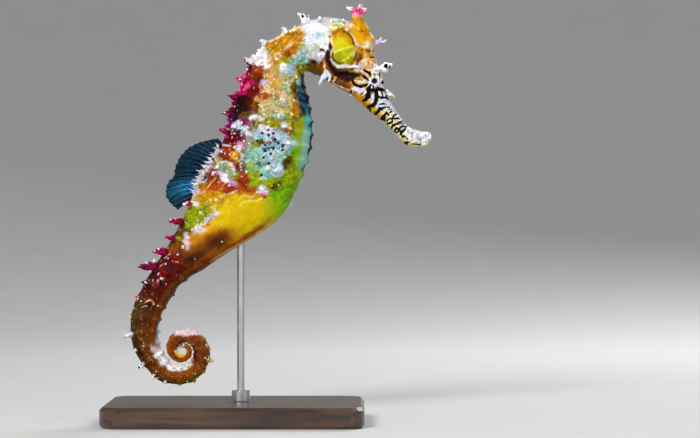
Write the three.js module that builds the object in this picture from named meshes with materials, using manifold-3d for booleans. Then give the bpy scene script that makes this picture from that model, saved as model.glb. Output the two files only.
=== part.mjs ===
// A life-size still model of a zebra-snouted spiny seahorse, an adult male, on a plain museum stand.
// Millimetres, +Z up. The animal faces +X and lies in the XZ plane; its left side is +Y.
// The origin is the middle of the stand's underside.
import * as THREE from "three";
import { mergeVertices } from "three/addons/utils/BufferGeometryUtils.js";
import Module from "manifold-3d";

const wasm = await Module();
wasm.setup();

// ---- Driving dimensions -------------------------------------------------------------------------
const CUT = 0.3; // the thin cut between neighbouring pieces
const FIN_THICKNESS = 0.5;
const TRUNK_RINGS = 11;
const TAIL_RINGS = 34;
const RING_SHRINK = 0.94; // each tail ring is this much shorter than the one before it
const RING_CREST = 0.035; // how far a ring's rim stands out, as a share of the half depth
const FIRST_RING = { station: "neck", before: 0.85 }; // where the trunk's rings begin and end,
const LAST_TRUNK_RING = { station: "vent", before: 0.6 }; // as a share of a station's spacing before it

// The tail's coil: a logarithmic spiral, and how the tail thins along it.
const COIL = {
  x: -12.5, z: 17.4, // its eye
  radius: 6.0, // from the eye to the middle of the tail, straight below the eye
  pitch: 0.181, // shrink of that radius for each radian
  start: 238, end: 880, step: 40, // degrees, counted anticlockwise from +X
  halfDepth: 2.55, taper: 1.15, tipHalfDepth: 0.24,
  flatness: 0.92, // half width for each half depth
};

// Where the body's back line and belly line run, as [back x, back z, belly x, belly z, half width].
const STATIONS = {
  mouth: [46.8, 69.4, 46.3, 66.5, 1.2],
  lips: [44.8, 69.9, 44.0, 66.2, 1.7],
  snoutEnd: [41.6, 71.0, 40.6, 66.8, 1.9],
  snoutMiddle: [39.4, 73.7, 37.7, 70.2, 1.8],
  snoutRoot: [37.3, 77.0, 34.4, 73.0, 2.1],
  eyeFront: [36.0, 80.5, 31.0, 75.7, 2.7],
  eye: [35.0, 84.1, 28.1, 78.4, 3.3],
  brow: [33.6, 88.0, 25.0, 80.2, 3.8],
  crown: [31.9, 94.2, 21.6, 82.2, 4.4],
  headTop: [24.7, 97.0, 19.4, 83.4, 4.6],
  nape: [18.5, 96.8, 17.5, 84.1, 4.2],
  neck: [13.2, 94.6, 16.6, 83.7, 4.0],
  shoulder: [7.6, 91.4, 16.9, 80.8, 4.5],
  chest: [3.6, 86.0, 17.8, 78.0, 5.0],
  rib: [1.4, 80.8, 18.4, 74.5, 5.5],
  flankTop: [-1.1, 75.4, 18.7, 70.2, 6.0],
  flank: [-2.4, 69.6, 18.3, 65.6, 6.4],
  flankLow: [-5.0, 63.8, 16.6, 60.0, 6.5],
  finMiddle: [-8.0, 59.2, 14.1, 54.4, 6.3],
  vent: [-10.5, 54.4, 10.5, 48.8, 5.7],
  pouch: [-12.6, 49.3, 4.3, 44.3, 5.0],
  pouchEnd: [-14.9, 45.0, -1.7, 40.7, 4.5],
  tailRoot: [-17.2, 41.2, -7.4, 36.8, 4.1],
  tailUpper: [-20.1, 36.6, -12.7, 33.2, 3.8],
  tailMiddle: [-22.8, 31.8, -15.8, 28.7, 3.5],
  tailLow: [-24.8, 27.0, -17.5, 25.6, 3.3],
  tailTurn: [-25.2, 21.5, -18.2, 22.0, 3.1],
  coilEntry: [-23.8, 16.4, -17.8, 18.6, 2.9],
  coilStart: [-20.4, 11.8, -16.3, 15.7, 2.6],
};

// Ridge angles in degrees from the middle of the back, for the head, the trunk and the tail.
const RIDGES = {
  head: { upper: 40, side: 84, lower: 132 },
  trunk: { upper: 27, side: 68, lower: 114 },
  tail: { upper: 46, side: 88, lower: 130 },
};
const RIDGE_HEIGHT = { head: 0.0, trunk: 0.05, tail: 0.06 }; // as a share of the half depth
// The section itself: how square it is, and how it narrows to the keel and to the back on the trunk.
const SECTION = {
  squareness: { head: 2.25, trunk: 2.3, tail: 2.7 }, // 2 is an ellipse
  keel: 0.30, keelCurve: 1.4, backNarrow: 0.22,
};

// Spines on the rings. The tables of long ones on the upper ridge go from ring number to length.
const LONG_TRUNK_SPINES = { 1: 1.5, 2: 1.5, 3: 2.0, 4: 1.6, 5: 2.4, 7: 2.4, 8: 1.4 };
const LONG_TAIL_SPINES = {
  1: 1.6, 2: 3.6, 3: 2.4, 4: 3.4, 5: 4.0, 6: 2.0, 7: 3.6, 9: 3.2, 11: 2.6, 15: 1.4, 17: 1.7,
};
const SPINE = {
  trunkUpper: 1.1, underFin: 0.8, trunkSide: 1.1, evenTrunkSide: 0.75, trunkLower: 0.95,
  tailUpper: 1.0, tailFade: 0.025, leastTailUpper: 0.45, tailLower: 0.5,
  flareFrom: 1.6, // a spine longer than this is flared at its foot
  flareRadius: 0.42, flareHeight: 0.45, // where the flare ends, as shares of the foot radius and length
  upperLean: 0.25, sideLean: 0.1, // how far the tip leans tailward for each length
  rise: 1.25, spread: 0.8, // how much it points up and out from the body
  widest: 0.42, // the largest foot radius, as a share of the body's half width
  footRadius: 0.3, footGrowth: 0.22, // radius at the foot, and more for each length
  sink: 0.8, // how deep the foot goes into the body, in foot radii
  last: 30, // the last ring with spines
  endRoom: 0.9, // the least distance of a spine from the end of its piece
};
const RINGS_UNDER_POUCH = 6; // tail rings with no lower spines

const EYE = { x: 33.4, y: 2.25, z: 81.8, radius: 1.65 };
const GILL_COVER = { x: 26.0, y: 3.6, z: 89.3, length: 3.0, bulge: 1.5, height: 4.2, lean: 8 };
const GILL_BED = 1.1; // how deep under the skin the gill cover's inner face lies
const CORONET = {
  x: 29.4, z: 94.6, neckZ: 97.4, crownZ: 98.4, topZ: 98.7,
  baseRadius: 2.2, waistRadius: 1.76, neckRadius: 1.0, crownRadius: 1.45,
  sunk: 1.2, waist: 0.6, // how far the base goes below z and the waist above it
  pointFoot: 0.55, pointRadius: 0.75, pointDrop: 0.5,
  seatRadius: 2.6, seatDepth: 1.6, // the hollow in the head that it sits in
};
// The coronet's points: [direction from +X in degrees, reach, height of the tip].
const CORONET_POINTS = [
  [180, 2.8, 99.7], [75, 2.0, 100.4], [-75, 2.0, 100.4], [24, 2.3, 98.8], [-24, 2.3, 98.8],
];
const POUCH = { x: 3.6, z: 45.6, halfLength: 12.5, halfDepth: 4.6, halfWidth: 7.0, slope: 37 };
// Fins. Rays are given by their directions in degrees from +X towards +Z.
const DORSAL_FIN = {
  from: 8.2, to: 11.8, // rings
  rays: 19, height: 7.9, firstRay: 138, lastRay: 214,
  inset: 0.06, // how deep the feet stand in the back, as a share of the body's depth
  frontDrop: 0.6, frontCurve: 4, hindDrop: 0.25, hindCurve: 8, // how much lower the fin is at its ends
};
const ANAL_FIN = { x: 12.6, z: 52.4, run: 0.9, rise: 1.1, length: 1.8, rays: 4, firstRay: -52, lastRay: -12 };
const PECTORAL_FIN = {
  x: 20.3, y: 4.6, z: 88.8, rays: 9, baseHeight: 3.2, reach: 4.6, flatness: 0.55,
  spread: 62, splay: 20, droop: 12,
};

// Spines of the head. Paired ones as foot and tip [x, y, z] on the left; those on the middle line as [x, z].
const PAIRED_HEAD_SPINES = {
  overEye: [[34.9, 2.0, 84.4], [37.7, 2.8, 86.2]],
  hindCheek: [[21.8, 3.0, 83.9], [19.9, 3.9, 80.8]],
  foreCheek: [[24.2, 3.1, 82.9], [23.4, 4.1, 81.1]],
  temple: [[30.9, 2.6, 88.9], [31.6, 4.2, 90.2]],
};
const MEDIAN_HEAD_SPINES = {
  nape: [[16.9, 95.2], [14.6, 98.7]],
  forehead: [[33.4, 91.0], [36.0, 92.3]],
  nose: [[36.6, 79.3], [38.5, 78.2]],
  chin: [[28.7, 79.3], [27.3, 78.1]],
};
const HEAD_SPINE_RADIUS = 0.62;
const NAPE_SPINE_RADIUS = 0.95;

// The stand.
const BASE = { length: 62, width: 42, thickness: 5, corner: 5, bevel: 0.8, cornerSteps: 3 };
const ROD = { x: 1.4, radius: 0.9, socketDepth: 3.0, sides: 12 };
const FERRULE = { radius: 2.2, height: 2.4, sides: 16 };

// Where the body is divided: the snout and the head by station, the rest by ring, with the pieces' colours.
const SNOUT_END = { station: "snoutRoot", after: 0.55 };
const HEAD_END = { station: "nape", after: -0.1 };
const LENGTHS = [
  { name: "neck", from: null, to: 1.5, color: "#d99a30" },
  { name: "trunk_upper", from: 1.5, to: 4.5, color: "#c98a55" },
  { name: "trunk_middle", from: 4.5, to: 8.5, color: "#b9bd7c" },
  { name: "trunk_lower", from: 8.5, to: 11.5, color: "#c7a838" },
  { name: "tail_base", from: 11.5, to: 15.5, color: "#b98a2a" },
  { name: "tail_upper", from: 15.5, to: 18.5, color: "#9c4a2a" },
  { name: "tail_middle", from: 18.5, to: 22.5, color: "#8a4f22" },
  { name: "tail_bend", from: 22.5, to: 27.5, color: "#a06a2c" },
  { name: "tail_coil", from: 27.5, to: 33.5, color: "#b5772c" },
  { name: "tail_tip", from: 33.5, to: null, color: "#c98c3a" },
];
const POUCH_REACH = { from: 8.5, to: 15.5 }; // rings between which the pouch lies

// How finely the body is faceted.
const HEAD_STEP = 0.45; // stations between two sections of the head
const LEAST_STEP = 0.04;
const TAILWARD_STEP = 0.1; // stations over which the body's direction is taken
const ROUND_DETAIL = 12;
const POUCH_DETAIL = 18;
const RINGS_PER_SEGMENT = 0.6; // of a round solid

// ---- Small helpers ------------------------------------------------------------------------------
const rad = THREE.MathUtils.degToRad;
const lerp = THREE.MathUtils.lerp;
const smooth = (x, a, b) => THREE.MathUtils.smoothstep(x, a, b);

function solidFrom(geometry) {
  const bare = geometry.clone();
  for (const name of Object.keys(bare.attributes)) {
    if (name !== "position") bare.deleteAttribute(name);
  }
  const merged = mergeVertices(bare, 1e-4);
  return new wasm.Manifold(new wasm.Mesh({
    numProp: 3,
    vertProperties: new Float32Array(merged.attributes.position.array),
    triVerts: new Uint32Array(merged.index.array),
  }));
}

function geometryFrom(solid) {
  const { numProp, numVert, vertProperties, triVerts } = solid.getMesh();
  const positions = new Float32Array(numVert * 3);
  for (let i = 0; i < numVert; i++) {
    positions.set(vertProperties.subarray(i * numProp, i * numProp + 3), i * 3);
  }
  return new THREE.BufferGeometry()
    .setAttribute("position", new THREE.BufferAttribute(positions, 3))
    .setIndex(new THREE.BufferAttribute(triVerts, 1));
}

// The largest body of a solid: a cut can leave crumbs behind.
function mainBody(solid) {
  return solid.decompose().reduce((a, b) => (b.volume() > a.volume() ? b : a));
}

function ellipsoid(x, y, z, rx, ry, rz, slope = 0, detail = ROUND_DETAIL) {
  const shape = new THREE.SphereGeometry(1, detail, Math.round(detail * RINGS_PER_SEGMENT));
  shape.scale(rx, ry, rz);
  shape.rotateY(rad(slope));
  shape.translate(x, y, z);
  return solidFrom(shape);
}

// A cone from a point on the skin to its tip, its foot sunk a little into the body. A long one is flared.
function spine(foot, tip, radius, sides) {
  const along = tip.clone().sub(foot).normalize();
  const sunk = foot.clone().addScaledVector(along, -radius * SPINE.sink);
  const length = tip.distanceTo(sunk);
  const flared = length > SPINE.flareFrom;
  const flare = flared ? [[radius * SPINE.flareRadius, length * SPINE.flareHeight]] : [];
  const profile = [[0, 0], [radius, 0], ...flare, [0, length]];
  const outline = profile.map(([r, h]) => new THREE.Vector2(r, h));
  const shape = new THREE.LatheGeometry(outline, sides ?? (flared ? 4 : 3));
  const turn = new THREE.Quaternion().setFromUnitVectors(new THREE.Vector3(0, 1, 0), along);
  shape.applyQuaternion(turn);
  shape.translate(sunk.x, sunk.y, sunk.z);
  return solidFrom(shape);
}

// A round bar standing upright on the rod's line.
function upright(radius, from, to, segments) {
  const shape = new THREE.CylinderGeometry(radius, radius, to - from, segments);
  shape.rotateX(Math.PI / 2);
  shape.translate(ROD.x, 0, (from + to) / 2);
  return solidFrom(shape);
}

// ---- The body: one tube from the mouth to the tip of the tail -----------------------------------
// The stations go on round the coil by formula.
const names = Object.keys(STATIONS);
const rows = names.map((name) => STATIONS[name]);
for (let angle = COIL.start; angle <= COIL.end; angle += COIL.step) {
  const share = (angle - COIL.start) / (COIL.end - COIL.start);
  const radius = COIL.radius * Math.exp(-COIL.pitch * rad(angle - 270));
  const half = lerp(COIL.tipHalfDepth, COIL.halfDepth, (1 - share) ** COIL.taper);
  const [c, s] = [Math.cos(rad(angle)), Math.sin(rad(angle))];
  const [backX, backZ] = [COIL.x + (radius + half) * c, COIL.z + (radius + half) * s];
  const [bellyX, bellyZ] = [COIL.x + (radius - half) * c, COIL.z + (radius - half) * s];
  rows.push([backX, backZ, bellyX, bellyZ, half * COIL.flatness]);
}
const LAST = rows.length - 1;
const stationOf = (name) => names.indexOf(name);

// A uniform Catmull-Rom curve through the stations: all five numbers at once.
function stationAt(u) {
  const i = Math.min(Math.floor(u), LAST - 1);
  const t = u - i;
  const [a, b, c, d] = [i - 1, i, i + 1, i + 2].map((k) => rows[THREE.MathUtils.clamp(k, 0, LAST)]);
  return b.map((_, k) => 0.5 * (2 * b[k] + (c[k] - a[k]) * t + (2 * a[k] - 5 * b[k] + 4 * c[k] - d[k]) * t * t
    + (3 * b[k] - a[k] - 3 * c[k] + d[k]) * t ** 3));
}

function frameAt(u) {
  const [bx, bz, vx, vz, width] = stationAt(u);
  const centre = new THREE.Vector3((bx + vx) / 2, 0, (bz + vz) / 2);
  const up = new THREE.Vector3((bx - vx) / 2, 0, (bz - vz) / 2);
  return { centre, depth: up.length(), up: up.normalize(), width, u };
}

// Lengths along the middle of the body, so that rings can be spaced along it.
const STEPS = 1200;
const lengths = [0];
for (let i = 1; i <= STEPS; i++) {
  const a = frameAt(((i - 1) / STEPS) * LAST).centre;
  const b = frameAt((i / STEPS) * LAST).centre;
  lengths.push(lengths[i - 1] + a.distanceTo(b));
}
const lengthAt = (u) => lengths[Math.round((u / LAST) * STEPS)];
function uAtLength(length) {
  const i = lengths.findIndex((l) => l >= length);
  if (i <= 0) return i < 0 ? LAST : 0;
  return ((i - 1 + (length - lengths[i - 1]) / (lengths[i] - lengths[i - 1])) / STEPS) * LAST;
}

// Ring rims, numbered from the shoulder: evenly spaced on the trunk, then ever closer on the tail.
const firstRingU = stationOf(FIRST_RING.station) - FIRST_RING.before;
const shoulderLength = lengthAt(firstRingU);
const ventLength = lengthAt(stationOf(LAST_TRUNK_RING.station) - LAST_TRUNK_RING.before);
const tailLength = lengths[STEPS] - ventLength;
const ringLengths = [];
for (let i = 0; i <= TRUNK_RINGS; i++) {
  ringLengths.push(lerp(shoulderLength, ventLength, i / TRUNK_RINGS));
}
for (let i = 1; i <= TAIL_RINGS; i++) {
  ringLengths.push(ventLength + (tailLength * (1 - RING_SHRINK ** i)) / (1 - RING_SHRINK ** TAIL_RINGS));
}
const ringU = (ring) => uAtLength(lerp(ringLengths[Math.floor(ring)],
  ringLengths[Math.min(Math.ceil(ring), ringLengths.length - 1)], ring % 1));

// How much of the trunk's and the tail's section the body has at a place.
function blendAt(u) {
  const trunk = smooth(u, stationOf("nape"), stationOf("chest"));
  const tail = smooth(u, stationOf("vent"), stationOf("tailUpper"));
  return { head: 1 - trunk, trunk: trunk * (1 - tail), tail: trunk * tail };
}

// The section's corner angles, from the back down one side, with one more below each ridge.
function anglesAt(blend) {
  const mix = (ridge) => Object.keys(blend).reduce((sum, kind) => sum + blend[kind] * RIDGES[kind][ridge], 0);
  const [upper, side, lower] = [mix("upper"), mix("side"), mix("lower")];
  return [0, upper, (upper + side) / 2, side, (side + lower) / 2, lower, (lower + 180) / 2, 180];
}

// One point of a section. crest is 1 on a ring's rim and 0 between two rims.
function sectionPoint(frame, blend, degrees, onRidge, crest) {
  const share = (table) => Object.keys(blend).reduce((sum, kind) => sum + blend[kind] * table[kind], 0);
  const power = 2 / share(SECTION.squareness);
  const c = Math.cos(rad(degrees));
  const s = Math.sin(rad(degrees));
  const along = Math.sign(c) * Math.abs(c) ** power;
  const across = Math.sign(s) * Math.abs(s) ** power;
  const keel = SECTION.keel * Math.max(0, -along) ** SECTION.keelCurve;
  const back = SECTION.backNarrow * Math.max(0, along) ** 2;
  const narrow = 1 - blend.trunk * (keel + back);
  const ridge = onRidge ? share(RIDGE_HEIGHT) : 0;
  const grow = 1 + ridge + RING_CREST * (crest - 0.5) * (1 - blend.head);
  return frame.centre.clone()
    .addScaledVector(frame.up, frame.depth * along * grow)
    .add(new THREE.Vector3(0, frame.width * across * narrow * grow, 0));
}

function sectionLoop(u, crest, margin) {
  const frame = frameAt(u);
  frame.depth += margin;
  frame.width += margin;
  const blend = blendAt(u);
  const half = anglesAt(blend);
  const points = half.map((angle, i) => sectionPoint(frame, blend, angle, i % 2 === 1 && i < 7, crest));
  const mirrored = points.slice(1, -1).reverse().map((p) => new THREE.Vector3(p.x, -p.y, p.z));
  return { centre: frame.centre, points: [...points, ...mirrored] };
}

// Places along the body where the tube has a section, between two places.
function placesBetween(from, to) {
  const places = [];
  for (let u = 0; u < firstRingU; u += HEAD_STEP) places.push([u, 0.5]);
  for (let ring = 0; ring < TRUNK_RINGS + TAIL_RINGS; ring++) {
    places.push([ringU(ring), 1]);
    if (ring < SPINE.last) places.push([ringU(ring + 0.5), 0]);
  }
  const inside = places.filter(([u]) => u > from + LEAST_STEP && u < to - LEAST_STEP);
  return [[from, 0.5], ...inside, [to, 0.5]];
}

function tube(from, to, margin = 0) {
  const loops = placesBetween(from, to).map(([u, crest]) => sectionLoop(u, crest, margin));
  const around = loops[0].points.length;
  const vertices = loops.flatMap((loop) => loop.points);
  const first = vertices.push(loops[0].centre) - 1;
  const last = vertices.push(loops.at(-1).centre) - 1;
  const faces = [];
  for (let j = 0; j < around; j++) {
    const k = (j + 1) % around;
    faces.push(first, k, j);
    for (let i = 0; i < loops.length - 1; i++) {
      const [a, b, c, d] = [i * around + j, i * around + k, (i + 1) * around + k, (i + 1) * around + j];
      faces.push(a, b, c, a, c, d);
    }
    faces.push(last, (loops.length - 1) * around + j, (loops.length - 1) * around + k);
  }
  const shape = new THREE.BufferGeometry().setFromPoints(vertices);
  shape.setIndex(faces);
  const solid = solidFrom(shape);
  if (solid.volume() > 0) return solid;
  shape.setIndex(faces.reverse());
  return solidFrom(shape);
}

// A piece of the body between two places, shortened by half a cut at each end.
function bodyPiece(from, to, margin = 0) {
  const start = from > 0 ? uAtLength(lengthAt(from) + CUT / 2) : 0;
  const end = to < LAST ? uAtLength(lengthAt(to) - CUT / 2) : LAST;
  return tube(start, end, margin);
}

// ---- Spines on the rings ------------------------------------------------------------------------
// A spine on one ridge of a ring's rim. lean tips it towards the tail.
function ringSpine(ring, ridge, side, length, lean) {
  const u = ringU(ring);
  const frame = frameAt(u);
  const blend = blendAt(u);
  const corner = { upper: 1, side: 3, lower: 5 }[ridge];
  const degrees = anglesAt(blend)[corner];
  const foot = sectionPoint(frame, blend, degrees, true, 1);
  foot.y *= side;
  const out = frame.up.clone().multiplyScalar(Math.cos(rad(degrees)) * SPINE.rise)
    .add(new THREE.Vector3(0, side * Math.sin(rad(degrees)) * SPINE.spread, 0)).normalize();
  const tailward = frameAt(Math.min(u + TAILWARD_STEP, LAST)).centre.sub(frame.centre).normalize();
  const tip = foot.clone().addScaledVector(out, length).addScaledVector(tailward, lean * length);
  const radius = Math.min(SPINE.footRadius + SPINE.footGrowth * length, frame.width * SPINE.widest);
  return spine(foot, tip, radius);
}

// The rings whose spines stand wholly on a piece.
function ringsBetween(from, to) {
  const rings = [];
  for (let ring = 1; ring <= SPINE.last; ring++) {
    const length = lengthAt(ringU(ring));
    const clear = length > lengthAt(from) + SPINE.endRoom && length < lengthAt(to) - SPINE.endRoom;
    if (clear) rings.push(ring);
  }
  return rings;
}

function upperSpineLength(ring) {
  if (ring >= DORSAL_FIN.from && ring <= DORSAL_FIN.to - 1) return SPINE.underFin;
  if (ring < TRUNK_RINGS) return LONG_TRUNK_SPINES[ring] ?? SPINE.trunkUpper;
  const number = ring - TRUNK_RINGS;
  const plain = SPINE.tailUpper - SPINE.tailFade * number;
  return LONG_TAIL_SPINES[number] ?? Math.max(SPINE.leastTailUpper, plain);
}

function withRingSpines(solid, from, to) {
  const cones = [];
  for (const ring of ringsBetween(from, to)) {
    const onTrunk = ring < TRUNK_RINGS;
    const behindPouch = ring > TRUNK_RINGS + RINGS_UNDER_POUCH;
    const sideLength = ring % 2 ? SPINE.trunkSide : SPINE.evenTrunkSide;
    const lowerLength = onTrunk ? SPINE.trunkLower : SPINE.tailLower;
    for (const side of [1, -1]) {
      cones.push(ringSpine(ring, "upper", side, upperSpineLength(ring), SPINE.upperLean));
      if (onTrunk) cones.push(ringSpine(ring, "side", side, sideLength, SPINE.sideLean));
      if (onTrunk || behindPouch) cones.push(ringSpine(ring, "lower", side, lowerLength, SPINE.sideLean));
    }
  }
  return cones.reduce((sum, cone) => sum.add(cone), solid);
}

// ---- The pieces ---------------------------------------------------------------------------------
const root = new THREE.Group();

function addPiece(name, solid, color, roughness = 0.55, metalness = 0) {
  const mesh = new THREE.Mesh(geometryFrom(mainBody(solid)),
    new THREE.MeshStandardMaterial({ color, roughness, metalness }));
  mesh.name = name;
  root.add(mesh);
}

const SIDES = [["left", 1], ["right", -1]];
const bodyWithMargin = (from, to) => tube(from, to, CUT);
const headEnd = stationOf(HEAD_END.station) + HEAD_END.after;
const snoutEnd = stationOf(SNOUT_END.station) + SNOUT_END.after;
const union = (solids) => solids.reduce((sum, solid) => sum.add(solid));

function gillCover(side, grow) {
  const g = GILL_COVER;
  return ellipsoid(g.x, side * g.y, g.z, g.length + grow, g.bulge + grow, g.height + grow, g.lean);
}

function eyeball(side, grow) {
  const radius = EYE.radius + grow;
  return ellipsoid(EYE.x, side * EYE.y, EYE.z, radius, radius, radius);
}

function medianSpine([[footX, footZ], [tipX, tipZ]], radius) {
  return spine(new THREE.Vector3(footX, 0, footZ), new THREE.Vector3(tipX, 0, tipZ), radius);
}

function headSpines() {
  const cones = [];
  for (const [foot, tip] of Object.values(PAIRED_HEAD_SPINES)) {
    for (const [, side] of SIDES) {
      const place = ([x, y, z]) => new THREE.Vector3(x, side * y, z);
      cones.push(spine(place(foot), place(tip), HEAD_SPINE_RADIUS));
    }
  }
  const { forehead, nose, chin } = MEDIAN_HEAD_SPINES;
  cones.push(...[forehead, nose, chin].map((ends) => medianSpine(ends, HEAD_SPINE_RADIUS)));
  return cones;
}

function coronet() {
  const k = CORONET;
  const outline = [
    [0, k.z - k.sunk], [k.baseRadius, k.z - k.sunk], [k.waistRadius, k.z + k.waist],
    [k.neckRadius, k.neckZ], [k.crownRadius, k.crownZ], [0, k.topZ],
  ];
  const stalk = new THREE.LatheGeometry(outline.map(([r, z]) => new THREE.Vector2(r, z)), 10);
  stalk.rotateX(Math.PI / 2);
  stalk.translate(k.x, 0, 0);
  const points = CORONET_POINTS.map(([degrees, reach, tipZ]) => {
    const [c, s] = [Math.cos(rad(degrees)), Math.sin(rad(degrees))];
    const foot = new THREE.Vector3(k.x + k.pointFoot * c, k.pointFoot * s, k.crownZ - k.pointDrop);
    return spine(foot, new THREE.Vector3(k.x + reach * c, reach * s, tipZ), k.pointRadius, 5);
  });
  return union([solidFrom(stalk), ...points]);
}

// A flat fan in the XZ plane from a list of foot points and a list of ray tips.
function fanPlate(feet, tips) {
  const outline = new THREE.Shape([...feet, ...tips.reverse()].map(([x, z]) => new THREE.Vector2(x, z)));
  const plate = new THREE.ExtrudeGeometry(outline, { depth: FIN_THICKNESS, bevelEnabled: false });
  plate.translate(0, 0, -FIN_THICKNESS / 2);
  plate.rotateX(Math.PI / 2);
  return solidFrom(plate);
}

// The feet and tips of a fin's rays: ray(t) gives [foot x, foot z, direction in radians, reach].
function fan(rays, ray) {
  const feet = [];
  const tips = [];
  for (let i = 0; i < rays; i++) {
    const [x, z, direction, reach] = ray(i / (rays - 1));
    feet.push([x, z]);
    tips.push([x + reach * Math.cos(direction), z + reach * Math.sin(direction)]);
  }
  return fanPlate(feet, tips);
}

function dorsalFin() {
  const fin = DORSAL_FIN;
  const plate = fan(fin.rays, (t) => {
    const [backX, backZ, bellyX, bellyZ] = stationAt(ringU(lerp(fin.from, fin.to, t)));
    const ends = fin.frontDrop * (1 - t) ** fin.frontCurve + fin.hindDrop * t ** fin.hindCurve;
    return [lerp(backX, bellyX, fin.inset), lerp(backZ, bellyZ, fin.inset),
      rad(lerp(fin.firstRay, fin.lastRay, t)), fin.height * (1 - ends)];
  });
  return plate.subtract(bodyWithMargin(ringU(fin.from - 1), ringU(fin.to + 1)));
}

function analFin() {
  const fin = ANAL_FIN;
  const plate = fan(fin.rays, (t) => [fin.x + fin.run * t, fin.z + fin.rise * t,
    rad(lerp(fin.firstRay, fin.lastRay, t)), fin.length]);
  return plate.subtract(bodyWithMargin(ringU(POUCH_REACH.from), ringU(POUCH_REACH.to)));
}

function pectoralFin(side) {
  const fin = PECTORAL_FIN;
  const feet = [];
  const tips = [];
  for (let i = 0; i < fin.rays; i++) {
    const t = i / (fin.rays - 1);
    const direction = rad(180 + lerp(-fin.spread, fin.spread, t));
    const z = lerp(fin.baseHeight, -fin.baseHeight, t) / 2;
    feet.push([0, z]);
    tips.push([fin.reach * Math.cos(direction), z + fin.flatness * fin.reach * Math.sin(direction)]);
  }
  const plate = geometryFrom(fanPlate(feet, tips));
  plate.rotateZ(rad(-side * fin.splay));
  plate.rotateY(rad(-fin.droop));
  plate.translate(fin.x, side * fin.y, fin.z);
  return solidFrom(plate);
}

// Snout and head, with the eyes, the gill covers and the coronet let into the head.
const { seatRadius, seatDepth } = CORONET;
const seat = ellipsoid(CORONET.x, 0, CORONET.z - CUT, seatRadius, seatRadius, seatDepth);
let head = union([bodyPiece(snoutEnd, headEnd), ...headSpines()]).subtract(seat);
for (const [, side] of SIDES) head = head.subtract(eyeball(side, CUT)).subtract(gillCover(side, CUT));
const skull = bodyWithMargin(stationOf("eye"), headEnd);
const coverBed = tube(stationOf("eye"), headEnd + 0.5, -GILL_BED);

addPiece("snout", bodyPiece(0, snoutEnd), "#d8cfa8");
addPiece("head", head, "#d9a53a");
addPiece("coronet", coronet().subtract(skull.subtract(seat)), "#d9709a");
for (const [name, side] of SIDES) {
  addPiece("eye_" + name, eyeball(side, 0), "#e9e4cf", 0.2);
  addPiece("gill_cover_" + name, gillCover(side, 0).subtract(coverBed), "#c9b21c");
  addPiece("pectoral_fin_" + name, pectoralFin(side), "#a9cfc6", 0.35);
}

// Neck, trunk and tail, with the brood pouch let in under the root of the tail.
function pouchShape(grow) {
  const p = POUCH;
  const [length, width, depth] = [p.halfLength + grow, p.halfWidth + grow, p.halfDepth + grow];
  return ellipsoid(p.x, 0, p.z, length, width, depth, -p.slope, POUCH_DETAIL);
}

for (const { name, from, to, color } of LENGTHS) {
  const start = from === null ? headEnd : ringU(from);
  const end = to === null ? LAST : ringU(to);
  let solid = withRingSpines(bodyPiece(start, end), start, end);
  if (name === "neck") solid = solid.add(medianSpine(MEDIAN_HEAD_SPINES.nape, NAPE_SPINE_RADIUS));
  if (name === "trunk_lower" || name === "tail_base") solid = solid.subtract(pouchShape(CUT));
  addPiece(name, solid, color);
}

// The pouch has a blind socket from below for the stand's rod.
const pouchBody = bodyPiece(ringU(POUCH_REACH.from), ringU(POUCH_REACH.to));
const wholePouch = mainBody(pouchBody.intersect(pouchShape(0)));
const pouchTop = wholePouch.boundingBox().max[2];
const overRod = mainBody(wholePouch.intersect(upright(ROD.radius, 0, pouchTop, ROD.sides)));
const rodTop = overRod.boundingBox().min[2] + ROD.socketDepth;
const socket = upright(ROD.radius + CUT, 0, rodTop + CUT, ROD.sides);
addPiece("brood_pouch", wholePouch.subtract(socket), "#d7b41a");

addPiece("dorsal_fin", dorsalFin(), "#24506e", 0.35);
addPiece("anal_fin", analFin(), "#8fb7b0", 0.35);

// The stand: a bevelled base plate, a ferrule and a steel rod.
function standBase() {
  const radius = BASE.corner - BASE.bevel;
  const x = BASE.length / 2 - BASE.corner;
  const y = BASE.width / 2 - BASE.corner;
  const outline = new THREE.Shape();
  outline.absarc(x, -y, radius, -Math.PI / 2, 0);
  outline.absarc(x, y, radius, 0, Math.PI / 2);
  outline.absarc(-x, y, radius, Math.PI / 2, Math.PI);
  outline.absarc(-x, -y, radius, Math.PI, Math.PI * 1.5);
  const plate = new THREE.ExtrudeGeometry(outline, {
    depth: BASE.thickness - 2 * BASE.bevel,
    bevelThickness: BASE.bevel,
    bevelSize: BASE.bevel,
    bevelSegments: 1,
    curveSegments: BASE.cornerSteps,
  });
  plate.translate(0, 0, BASE.bevel);
  return solidFrom(plate);
}

const ferruleFoot = BASE.thickness + CUT;
const ferruleTop = ferruleFoot + FERRULE.height;
const ferrule = upright(FERRULE.radius, ferruleFoot, ferruleTop, FERRULE.sides).subtract(socket);
addPiece("stand_base", standBase(), "#2a2522", 0.4);
addPiece("stand_ferrule", ferrule, "#b9b4a8", 0.3, 1);
addPiece("stand_rod", upright(ROD.radius, ferruleFoot, rodTop, ROD.sides), "#b9bbbd", 0.3, 1);

export default root;
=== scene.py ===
import math

import bpy
import numpy as np
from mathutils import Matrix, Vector, noise


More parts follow.
